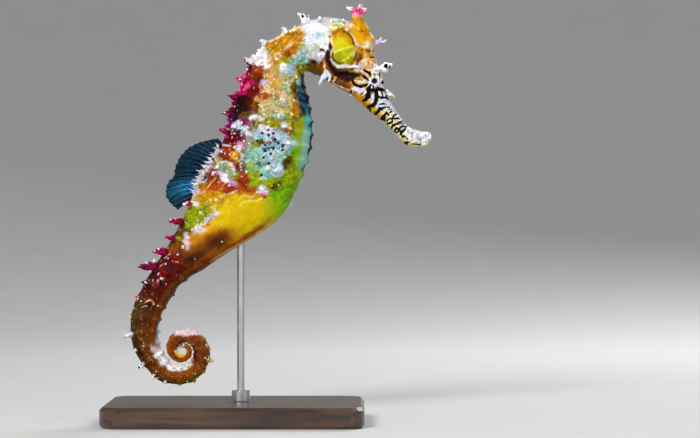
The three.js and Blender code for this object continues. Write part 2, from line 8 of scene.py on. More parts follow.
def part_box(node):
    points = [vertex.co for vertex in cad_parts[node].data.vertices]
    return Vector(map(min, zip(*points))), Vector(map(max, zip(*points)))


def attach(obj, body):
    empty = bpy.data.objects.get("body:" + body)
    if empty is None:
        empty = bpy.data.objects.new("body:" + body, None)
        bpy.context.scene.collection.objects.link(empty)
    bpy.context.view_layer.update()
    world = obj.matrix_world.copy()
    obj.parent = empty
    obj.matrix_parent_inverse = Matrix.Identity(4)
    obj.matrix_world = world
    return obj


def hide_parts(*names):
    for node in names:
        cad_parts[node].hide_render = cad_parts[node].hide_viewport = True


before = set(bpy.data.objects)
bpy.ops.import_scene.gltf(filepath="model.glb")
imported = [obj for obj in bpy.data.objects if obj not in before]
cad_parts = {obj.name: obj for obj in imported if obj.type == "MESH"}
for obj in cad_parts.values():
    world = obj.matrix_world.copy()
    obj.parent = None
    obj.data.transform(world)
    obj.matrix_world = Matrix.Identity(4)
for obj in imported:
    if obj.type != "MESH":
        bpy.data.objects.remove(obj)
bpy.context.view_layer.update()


# ---- The skin: its form -------------------------------------------------------------------------
# One skin covers the seahorse from the lips to the tip of the tail, drawn tight over rings of bony
# plate. Its rims, ridges and keel show through it, and it is whole, with no seam at the pouch.
MM = 0.001

# The outline by place along the animal, in mm: the back's x and z, the belly's x and z, half width.
STATIONS = {
    "mouth": (46.8, 69.4, 46.3, 66.5, 1.2),
    "lips": (44.8, 69.9, 44.0, 66.2, 1.7),
    "snout_end": (41.6, 71.0, 40.6, 66.8, 1.9),
    "snout_middle": (39.4, 73.7, 37.7, 70.2, 1.8),
    "snout_root": (37.3, 77.0, 34.4, 73.0, 2.1),
    "eye_front": (36.0, 80.5, 31.0, 75.7, 2.7),
    "eye": (35.0, 84.1, 28.1, 78.4, 3.3),
    "brow": (33.6, 88.0, 25.0, 80.2, 3.8),
    "crown": (31.9, 94.2, 21.6, 82.2, 4.4),
    "head_top": (24.7, 97.0, 19.4, 83.4, 4.6),
    "nape": (18.5, 96.8, 17.5, 84.1, 4.2),
    "neck": (13.2, 94.6, 16.6, 83.7, 4.0),
    "shoulder": (7.6, 91.4, 16.9, 80.8, 4.5),
    "chest": (3.6, 86.0, 17.8, 78.0, 5.0),
    "rib": (1.4, 80.8, 18.4, 74.5, 5.5),
    "flank_top": (-1.1, 75.4, 18.7, 70.2, 6.0),
    "flank": (-2.4, 69.6, 18.3, 65.6, 6.4),
    "flank_low": (-5.0, 63.8, 16.6, 60.0, 6.5),
    "fin_middle": (-8.0, 59.2, 14.1, 54.4, 6.3),
    "vent": (-10.5, 54.4, 10.5, 48.8, 5.7),
    "pouch": (-12.6, 49.3, 4.3, 44.3, 5.0),
    "pouch_end": (-14.9, 45.0, -1.7, 40.7, 4.5),
    "tail_root": (-17.2, 41.2, -7.4, 36.8, 4.1),
    "tail_upper": (-20.1, 36.6, -12.7, 33.2, 3.8),
    "tail_middle": (-22.8, 31.8, -15.8, 28.7, 3.5),
    "tail_low": (-24.8, 27.0, -17.5, 25.6, 3.3),
    "tail_turn": (-25.2, 21.5, -18.2, 22.0, 3.1),
    "coil_entry": (-23.8, 16.4, -17.8, 18.6, 2.9),
    "coil_start": (-20.4, 11.8, -16.3, 15.7, 2.6),
}
COIL = {
    "x": -12.5, "z": 17.4, "radius": 6.0, "pitch": 0.181, "start": 238, "end": 880, "step": 40,
    "half_depth": 2.55, "taper": 1.15, "tip_half_depth": 0.24, "flatness": 0.92,
}
# Ridge angles from the middle of the back, in degrees, on the head, the trunk and the tail.
RIDGES = {"upper": (40, 27, 46), "side": (84, 68, 88), "lower": (132, 114, 130)}
SQUARENESS = (2.25, 2.3, 2.7)  # of a section on the head, the trunk and the tail; 2 is an ellipse
KEEL, KEEL_CURVE, BACK_NARROW = 0.30, 1.4, 0.22
TRUNK_RINGS, TAIL_RINGS, RING_SHRINK = 11, 34, 0.94
COAT = 0.12  # how far the skin lies inside the solids, in mm
LENGTH_STEPS = 4000


def outline_rows():
    """The stations, followed by those of the coiled end of the tail."""
    rows = [list(row) for row in STATIONS.values()]
    for turn in range(COIL["start"], COIL["end"] + 1, COIL["step"]):
        share = (turn - COIL["start"]) / (COIL["end"] - COIL["start"])
        radius = COIL["radius"] * math.exp(-COIL["pitch"] * math.radians(turn - 270))
        half = COIL["half_depth"] - COIL["tip_half_depth"]
        half = COIL["tip_half_depth"] + half * (1 - share) ** COIL["taper"]
        c, s = math.cos(math.radians(turn)), math.sin(math.radians(turn))
        outer, inner = radius + half, radius - half
        rows.append([COIL["x"] + outer * c, COIL["z"] + outer * s,
                     COIL["x"] + inner * c, COIL["z"] + inner * s, half * COIL["flatness"]])
    return np.array(rows)


ROWS = outline_rows()
LAST = len(ROWS) - 1


def outline_at(u):
    """The five outline values at places u, counted in stations, on a smooth curve through them."""
    i = np.minimum(u.astype(int), LAST - 1)
    t = (u - i)[:, None]
    before, here, after, beyond = (ROWS[np.clip(i + k, 0, LAST)] for k in (-1, 0, 1, 2))
    square = 2 * before - 5 * here + 4 * after - beyond
    cube = 3 * here - before - 3 * after + beyond
    return 0.5 * (2 * here + (after - before) * t + square * t**2 + cube * t**3)


station_steps = np.linspace(0, LAST, LENGTH_STEPS + 1)
middle_line = outline_at(station_steps)
middle_line = (middle_line[:, 0:2] + middle_line[:, 2:4]) / 2
length_steps = np.concatenate([[0], np.cumsum(np.linalg.norm(np.diff(middle_line, axis=0), axis=1))])
WHOLE_LENGTH = length_steps[-1]


def station_number(name):
    return list(STATIONS).index(name)


def length_of(station, after=0.0):
    """How far along the animal a station lies, in mm from the lips."""
    return float(np.interp(station_number(station) + after, station_steps, length_steps))


def stations_at(length):
    return np.interp(length, length_steps, station_steps)


def row_at(length):
    """The outline's values at one length."""
    return outline_at(stations_at([length]))[0]


def up_at(length):
    """The direction from the belly to the back at one length."""
    back_x, back_z, belly_x, belly_z, _ = row_at(length)
    up = np.array([back_x - belly_x, 0, back_z - belly_z])
    return up / np.linalg.norm(up)


def from_back(angle):
    """Angles on both sides as counted from the middle of the back."""
    return np.abs((angle + math.pi) % (2 * math.pi) - math.pi)


FIRST_RING = length_of("neck", -0.85)
LAST_TRUNK_RING = length_of("vent", -0.6)
tail_share = (1 - RING_SHRINK ** np.arange(1, TAIL_RINGS + 1)) / (1 - RING_SHRINK**TAIL_RINGS)
RING_LENGTHS = np.concatenate([
    np.linspace(FIRST_RING, LAST_TRUNK_RING, TRUNK_RINGS + 1),
    LAST_TRUNK_RING + (WHOLE_LENGTH - LAST_TRUNK_RING) * tail_share,
])
RING_PITCH = RING_LENGTHS[1] - RING_LENGTHS[0]


def ring_at(length):
    """The ring number at a length along the animal: below 0 on the head, 11 at the vent."""
    ring = np.interp(length, RING_LENGTHS, np.arange(len(RING_LENGTHS)))
    return np.where(length < FIRST_RING, (length - FIRST_RING) / RING_PITCH, ring)


def length_at(ring):
    return np.interp(ring, np.arange(len(RING_LENGTHS)), RING_LENGTHS)


def smooth(x, start, end):
    t = np.clip((x - start) / (end - start), 0, 1)
    return t * t * (3 - 2 * t)


def kinds_at(length):
    """How much of a place belongs to the head, the trunk and the tail."""
    u = stations_at(length)
    trunk = smooth(u, station_number("nape"), station_number("chest"))
    tail = smooth(u, station_number("vent"), station_number("tail_upper"))
    return np.stack([1 - trunk, trunk * (1 - tail), trunk * tail], axis=-1)


def ridge_angle(ridge, length):
    return np.radians(kinds_at(length) @ np.array(RIDGES[ridge], float))


def surface(length, angle, inset=COAT):
    """Points of the body's surface, the outward directions there, and the share from back to belly."""
    row = outline_at(stations_at(length))
    centre = (row[:, 0:2] + row[:, 2:4]) / 2
    up = (row[:, 0:2] - row[:, 2:4]) / 2
    depth = np.linalg.norm(up, axis=1)
    up = up / depth[:, None]
    kinds = kinds_at(length)
    power = 2 / (kinds @ np.array(SQUARENESS))
    c, s = np.cos(angle), np.sin(angle)
    along = np.sign(c) * np.abs(c) ** power
    across = np.sign(s) * np.abs(s) ** power
    keel = KEEL * np.maximum(0, -along) ** KEEL_CURVE + BACK_NARROW * np.maximum(0, along) ** 2
    half_width = row[:, 4] * (1 - kinds[:, 1] * keel)
    inset = np.minimum(inset, 0.05 * depth)
    rise = (depth - inset) * along
    points = np.stack([centre[:, 0] + up[:, 0] * rise, (half_width - inset) * across,
                       centre[:, 1] + up[:, 1] * rise], axis=1)
    lean, spread = along / depth, across / half_width
    outward = np.stack([up[:, 0] * lean, spread, up[:, 1] * lean], axis=1)
    outward /= np.linalg.norm(outward, axis=1)[:, None] + 1e-9
    return points, outward, (1 - along) / 2


def cloud(points, size, seed):
    """Smooth noise of about -1 to 1 over points in mm, with lumps of the given size."""
    shift = Vector((seed * 7.3, seed * 3.1, seed * 5.7))
    return np.array([noise.noise(Vector(p) / size + shift) for p in points]) * 1.6


def bump_at(distance, width):
    return np.exp(-((distance / width) ** 2))


def inside_bar(x, z, start, end, corners):
    """How far inside a bent bar points lie in the side view; half its width runs from start to end."""
    inside = np.full(x.shape, -1e9)
    for k, ((ax, az), (bx, bz)) in enumerate(zip(corners, corners[1:])):
        run, rise = bx - ax, bz - az
        t = np.clip(((x - ax) * run + (z - az) * rise) / (run * run + rise * rise), 0, 1)
        half = start + (end - start) * (k + t) / (len(corners) - 1)
        inside = np.maximum(inside, half - np.hypot(x - ax - t * run, z - az - t * rise))
    return inside


def from_polyline(x, z, corners):
    """Distance in the side view from points to a bent line, in mm."""
    return -inside_bar(x, z, 0, 0, corners)


EYE = {"x": 33.4, "y": 2.25, "z": 81.8, "radius": 1.62}
GILL_COVER = {"x": 26.0, "z": 89.4, "half_length": 2.9, "half_height": 4.2, "lean": 8, "rise": 0.85}
# Folds of the head in the side view: (rise, width, corners), in mm.
FOLDS = {
    "jaw ridge": (.46, .42, [(22.2, 87), (22.5, 84.4), (24.2, 82.2), (27.4, 80.7), (30, 79)]),
    "cheek fold": (.34, .30, [(23, 88.2), (23.8, 86.1), (24.8, 85.3), (27, 85), (30.3, 85.4)]),
    "cheek hollow": (-.60, .75, [(22.9, 86.4), (23.7, 84.3), (25.4, 82.9), (28.6, 83.4)]),
    "brow ridge": (.34, .5, [(34.6, 84.6), (33, 85.6), (31.6, 87.6), (31.2, 89.6)]),
    "neck fold": (.45, .7, [(18.6, 87.4), (20.4, 88.4), (22.2, 89.6), (22.9, 92.4)]),
    "mouth": (-.26, .16, [(47.2, 67.8), (45.2, 67.3), (43.1, 67.1)]),
    "lip": (-.10, .2, [(45.4, 70.4), (45, 68.6)]),
}
# Bulges that go all round: the forehead, the upper lip and the knobs along the snout (x, z, width, rise).
BULGES = [
    (33.4, 91.6, 1.6, .75), (46.3, 69.4, 1, .42), (36.9, 76.7, .35, .22), (37.6, 75.2, .35, .22),
    (38.4, 74.2, .32, .2), (39.1, 73.5, .3, .2), (39.9, 72.7, .3, .2), (41.2, 71.4, .32, .25),
    (41.9, 70.8, .3, .18),
]


def gill_place(x, z):
    """Polar place on the gill cover: 1 at its rim, and the angle about its middle."""
    lean = math.radians(GILL_COVER["lean"])
    dx, dz = x - GILL_COVER["x"], z - GILL_COVER["z"]
    a = (dx * math.cos(lean) + dz * math.sin(lean)) / GILL_COVER["half_length"]
    b = (dz * math.cos(lean) - dx * math.sin(lean)) / GILL_COVER["half_height"]
    return np.hypot(a, b), np.arctan2(b, a)


def head_relief(points, outward):
    """How far the head's folds and bones stand out, in mm."""
    x, z = points[:, 0], points[:, 2]
    sideways = smooth(np.abs(outward[:, 1]), 0.15, 0.6)
    rim, turn = gill_place(x, z)
    cover = GILL_COVER["rise"] * np.sqrt(np.clip(1 - rim**2, 0, 1))
    cover += 0.06 * np.sin(17 * turn) * smooth(rim, 0.15, 0.5) * (1 - smooth(rim, 0.85, 1.0))
    groove = -0.32 * bump_at(rim - 1.09, 0.07)
    from_eye = np.hypot(x - EYE["x"], z - EYE["z"])
    orbit = 0.3 * bump_at(from_eye - 1.95, 0.33) - 1.3 * (1 - smooth(from_eye, 1.25, 1.62))
    wrinkles = 0.05 * np.cos(9 * from_eye) * bump_at(from_eye - 2.7, 0.6)
    folds = sum(rise * bump_at(from_polyline(x, z, line), width) for rise, width, line in FOLDS.values())
    bulges = sum(rise * bump_at(np.hypot(x - bx, z - bz), width) for bx, bz, width, rise in BULGES)
    rough = 0.10 * cloud(points, 1.1, 12) + 0.05 * cloud(points, 0.5, 13)
    return sideways * (cover + groove + orbit + wrinkles + folds) + bulges + rough


def body_relief(points, length, angle, ring):
    """How far the ring rims, ridges, tubercles and keel stand out behind the head, in mm."""
    kinds = kinds_at(length)
    row = outline_at(stations_at(length))
    depth = np.hypot(row[:, 0] - row[:, 2], row[:, 1] - row[:, 3]) / 2
    size = np.clip(depth / 6, 0.12, 1)
    pitch = np.gradient(RING_LENGTHS)[np.clip(np.rint(ring), 0, len(RING_LENGTHS) - 1).astype(int)]
    from_rim = (ring - np.rint(ring)) * pitch
    folded = from_back(angle)
    shown = smooth(ring, -0.4, 0.8)
    pouch = smooth(ring, 8.6, 10.2) * (1 - smooth(ring, 14.6, 16)) * smooth(folded, 1.25, 1.5)
    rim = (0.26 * bump_at(from_rim, 0.36) - 0.20 * (1 - bump_at(from_rim, 1.1))) * size**0.5
    rise = rim * (1 - 0.85 * pouch)
    tail = kinds[:, 2]
    for ridge, height, knob in (("upper", 0.26, 0.55), ("side", 0.30, 0.45), ("lower", 0.28, 0.45)):
        aside = (folded - ridge_angle(ridge, length)) * depth
        there = bump_at(aside, 0.42 * size**0.5)
        if ridge == "side":
            there = there * (1 - smooth(ring, 10.8, 12.5))
        knobs = knob * bump_at(from_rim, 0.5) * bump_at(aside, 0.62 * size**0.5)
        rise = rise + (height * there + knobs) * size * (1 - 0.9 * pouch) * (1 - 0.35 * tail)
    keel_line = bump_at((folded - math.pi) * depth, 0.6)
    rise = rise + 0.16 * keel_line * bump_at(from_rim, 0.8) * size * (1 - pouch)
    swell = 0.10 * pouch * bump_at(ring - 11.8, 2.2)
    edge = -0.22 * bump_at(folded - 1.33, 0.045) * smooth(ring, 10.6, 11.4) * (1 - smooth(ring, 14, 15))
    return shown * (rise + swell + edge)


SKIN_COLUMNS = 150
SIDE_CROWDING = 0.17  # draws the columns together on the flanks
# Rows as (from, to, step) in mm along the animal, finest on the head.
SKIN_ROWS = [(0.02, 1.4, 0.07), (1.4, 41.5, 0.16), (41.5, 80, 0.306), (80, 112, 0.33),
             (112, WHOLE_LENGTH - 0.16, 0.335)]
# The lips turn in to a small open mouth: (length, share of the full section).
MOUTH_ROWS = [(0.95, 0.10), (0.9, 0.22), (0.6, 0.30), (0.25, 0.36), (0.05, 0.46), (0.0, 0.60), (0.0, 0.80)]
# The snout ends in a rounded bulb over a short jaw plate, parted by the notch of the mouth.
BULB, JAW_PLATE, MOUTH_NOTCH = 1.7, 0.4, 1.7  # how far back each one's rounding runs, in mm
SNOUT_POUT = (0.5, 0.15)  # how far the bulb and the jaw plate push forward, in mm
TIP_ROWS = [(WHOLE_LENGTH - 0.09, 0.85), (WHOLE_LENGTH - 0.02, 0.5)]


def skin_grid():
    """The skin's rows by columns: lengths, angles and shares of the full section."""
    body = np.concatenate([np.arange(a, b, step) for a, b, step in SKIN_ROWS])
    lengths = np.concatenate([[l for l, _ in MOUTH_ROWS], body, [l for l, _ in TIP_ROWS]])
    shares = np.concatenate([[k for _, k in MOUTH_ROWS], np.ones(len(body)), [k for _, k in TIP_ROWS]])
    turn = np.arange(SKIN_COLUMNS) / SKIN_COLUMNS * 2 * math.pi
    angles = turn + SIDE_CROWDING * np.sin(2 * turn)
    rows = len(lengths)
    return np.repeat(lengths, SKIN_COLUMNS), np.tile(angles, rows), np.repeat(shares, SKIN_COLUMNS), rows


def centre_at(length):
    row = row_at(length)
    return np.array([(row[0] + row[2]) / 2, 0, (row[1] + row[3]) / 2])


def end_rounding(length, angle):
    """The share of the full section that the bulb and the jaw plate keep towards the snout's end."""
    folded = from_back(angle)
    jaw = smooth(folded, 2.15, 2.35)
    reach = BULB * (1 - jaw) + JAW_PLATE * jaw
    rounded = 0.42 + 0.58 * np.sqrt(np.clip(1 - (1 - np.clip(length / reach, 0, 1)) ** 2, 0, 1))
    notch = 0.5 * bump_at(folded - 2.2, 0.13) * (1 - smooth(length, 0.2, MOUTH_NOTCH))
    return rounded - notch


def skin_point(length, angle):
    """The skin with its relief at given lengths and angles: points and outward directions, in mm."""
    points, outward, across = surface(np.clip(length, 0, WHOLE_LENGTH), angle)
    ring = ring_at(length)
    rise = head_relief(points, outward) * (1 - smooth(length, 36, 41))
    rise = rise + body_relief(points, length, angle, ring)
    rise = rise + (0.07 * cloud(points, 1.7, 1) + 0.04 * cloud(points, 0.7, 2)) * smooth(length, 4, 12)
    return points + outward * rise[:, None], outward, ring, across, rise


lengths, angles, shares, row_count = skin_grid()
skin_points, _, skin_ring, skin_across, skin_rise = skin_point(lengths, angles)
shares = shares * end_rounding(lengths, angles)
pout = SNOUT_POUT[0] + (SNOUT_POUT[1] - SNOUT_POUT[0]) * smooth(from_back(angles), 2.0, 2.3)
pout *= 1 - smooth(lengths, 0.0, 1.8)
for i, centre_length in enumerate(lengths[::SKIN_COLUMNS]):
    part = slice(i * SKIN_COLUMNS, (i + 1) * SKIN_COLUMNS)
    if shares[part].min() < 1:
        middle = centre_at(max(0, centre_length))
        skin_points[part] = middle + (skin_points[part] - middle) * shares[part][:, None]
skin_points += (centre_at(0) - centre_at(0.6)) / 0.6 * pout[:, None]


def skin_faces():
    """Quads between the rows, and a fan that closes each end."""
    index = np.arange(row_count * SKIN_COLUMNS).reshape(row_count, SKIN_COLUMNS)
    right = np.roll(index, -1, axis=1)
    quads = np.stack([index[:-1], index[1:], right[1:], right[:-1]], axis=-1).reshape(-1, 4)
    first, last = row_count * SKIN_COLUMNS, row_count * SKIN_COLUMNS + 1
    start = [(first, int(a), int(b)) for a, b in zip(index[0], right[0])]
    end = [(last, int(b), int(a)) for a, b in zip(index[-1], right[-1])]
    return quads.tolist() + start + end


def new_piece(name, points, faces, material=None, edges=()):
    """A smooth-shaded mesh piece from points in mm."""
    mesh = bpy.data.meshes.new(name)
    mesh.from_pydata((np.asarray(points) * MM).tolist(), edges, faces)
    mesh.shade_smooth()
    piece = bpy.data.objects.new(name, mesh)
    bpy.context.scene.collection.objects.link(piece)
    if material:
        mesh.materials.append(material)
    return piece


ends = np.array([centre_at(0.98), centre_at(WHOLE_LENGTH)])
skin = new_piece("skin", np.concatenate([skin_points, ends]), skin_faces())
FLESH = ["snout", "head", "gill_cover_left", "gill_cover_right", "neck", "trunk_upper", "trunk_middle",
         "trunk_lower", "tail_base", "tail_upper", "tail_middle", "tail_bend", "tail_coil", "tail_tip",
         "brood_pouch"]


# ---- The skin: its markings ---------------------------------------------------------------------
# The colours lie in the living skin in patches from amber and magenta to lime, frosted with white
# granules, with black bars round the eye and along the snout. Both sides carry the same pattern.
PALETTE = {
    "amber": "#CC9608", "gold": "#E6B012", "lemon": "#D2C60E", "ochre": "#A6A008", "yellow": "#D8BC04",
    "lime": "#8CBC08", "pear": "#94A430", "leaf": "#A4B40C", "olive": "#6E5808", "moss": "#5E4A10",
    "cream": "#F4E6C0", "butter": "#EAE4A8", "oat": "#C8C080", "peach": "#F0C8A0", "tan": "#D8B470",
    "white": "#F6F4F8", "ice": "#B4D2DE", "mint": "#9CCCBA", "sage": "#A4AC90", "throat": "#C2D8CC",
    "lilac": "#D8C8EC", "pink": "#E898C4", "rose": "#F05C9C", "magenta": "#C40C68", "purple": "#8A0C6C",
    "crimson": "#820A0E", "wine": "#600422", "mauve": "#7E4450", "maroon": "#340A04", "rust": "#A43C08",
    "copper": "#B85008", "navy": "#0E1C48", "slate": "#143448", "cyan": "#5CC4C0", "brown": "#5A2C04",
    "coffee": "#421A06", "brick": "#641404", "sienna": "#7A4608", "russet": "#84440A", "umber": "#8E5806",
    "bronze": "#A05A0C", "shell": "#E6D0D2", "ink": "#120808", "raspberry": "#8C0A48", "tawny": "#9A560A",
    "pale": "#E2E6F0", "steel": "#3A6A84", "straw": "#DCDC50", "orange": "#D08808",
}


DEEPENING = 1.12  # the power that deepens the palette a little


def colour(name):
    """A palette colour as linear red, green and blue."""
    shades = [int(PALETTE[name][i:i + 2], 16) / 255 for i in (1, 3, 5)]
    linear = [s / 12.92 if s <= 0.04045 else ((s + 0.055) / 1.055) ** 2.4 for s in shades]
    return np.array(linear) ** DEEPENING


# The ground colours by ring: on the back, the flank and the belly. The head lies below ring 0.
GROUNDS = [
    (-13, "white", "white", "cream"), (-9.2, "white", "cream", "butter"), (-7.5, "white", "butter", "butter"),
    (-6.3, "white", "cream", "gold"), (-5.5, "peach", "gold", "gold"), (-3.5, "gold", "gold", "bronze"),
    (-1.5, "cream", "white", "olive"), (.4, "gold", "amber", "olive"), (1.6, "amber", "amber", "throat"),
    # The slate belly of rings 2.4 to 5.3 is partly the keel's own colour, partly painted shade on its
    # underside.
    (2.4, "amber", "oat", "slate"), (3.4, "rust", "tan", "slate"), (4.5, "magenta", "oat", "slate"),
    # The cyan on the belly at ring 6.2 is partly the belly's own colour, partly a painted highlight.
    (5.3, "purple", "oat", "slate"), (6.2, "purple", "oat", "cyan"), (7, "raspberry", "ice", "mint"),
    (7.9, "rust", "mint", "mint"), (8.8, "rust", "pear", "lime"), (9.8, "olive", "leaf", "lime"),
    (10.7, "rust", "copper", "lime"), (11.4, "gold", "yellow", "lime"), (12.4, "leaf", "yellow", "yellow"),
    (13.4, "olive", "gold", "gold"), (14.4, "sienna", "tawny", "russet"), (15.3, "crimson", "brick", "russet"),
    (17, "wine", "brick", "sienna"), (18.3, "moss", "brown", "russet"), (21.2, "coffee", "sienna", "sienna"),
    (23, "sienna", "russet", "cream"), (26, "olive", "tawny", "cream"), (28, "sienna", "russet", "brick"),
    (30.5, "bronze", "russet", "tawny"), (33, "tawny", "russet", "brown"), (36, "bronze", "russet", "bronze"),
    (39, "tawny", "tawny", "cream"), (42, "bronze", "tawny", "bronze"), (45, "bronze", "tan", "tan"),
]
# Patches on the rings: (colour, ring, share from back to belly, half length in rings, half share).
PATCHES = [
    ("amber", 1.2, .3, 1.3, .3), ("gold", .7, .18, .5, .14), ("white", 0, .15, .28, .32),
    ("throat", .5, .6, .7, .09), ("throat", 1.5, .6, .8, .09), ("throat", 2.2, .76, .5, .13),
    ("olive", .9, .83, .7, .12), ("cream", 1.2, .34, .22, .05), ("cream", 2, .33, .2, .05),
    ("ice", 1.9, .62, .35, .05), ("white", 2.25, .5, .3, .06), ("oat", 2.9, .55, .5, .12),
    # The slate and navy along the belly edge are partly the keel's own colour, partly painted shade.
    ("white", 2.75, .1, .32, .2), ("white", 2.45, .17, .3, .06), ("slate", 3.2, .93, 2.6, .06),
    # The cyan on the belly edge is a painted highlight.
    ("navy", 3.2, 1, 3, .08), ("leaf", 5.9, .89, 1, .05), ("cyan", 5.8, .95, 1.5, .035),
    ("mint", 7.4, .93, 1.5, .06), ("lime", 7.6, .85, .9, .05), ("slate", 6.4, 1, 2.6, .025),
    ("pale", 9.8, .01, 1.9, .05), ("lime", 9.2, .84, 1.9, .1), ("lime", 10.6, .88, 1.6, .12),
    ("yellow", 12, .62, 1.15, .3), ("gold", 13.2, .42, .6, .16), ("leaf", 12.6, .15, .6, .08),
    ("bronze", 13, .93, 1.2, .05), ("crimson", 15.9, .22, .5, .12), ("wine", 16.6, .12, .7, .16),
    # The ice, shell and pale on the inside of the tail's bend, rings 20 to 26, are a painted sheen.
    ("crimson", 17.2, .28, .4, .1), ("tawny", 16.6, .48, .3, .06), ("ice", 20.4, 1, 1.1, .05),
    ("shell", 22.2, .95, 1.6, .12), ("pale", 24.2, .9, 1.9, .18), ("bronze", 24.4, .58, 1.8, .12),
    ("bronze", 26.6, .5, .6, .14), ("brick", 27.8, .8, .8, .18), ("gold", 37.5, .8, 1.8, .2),
]
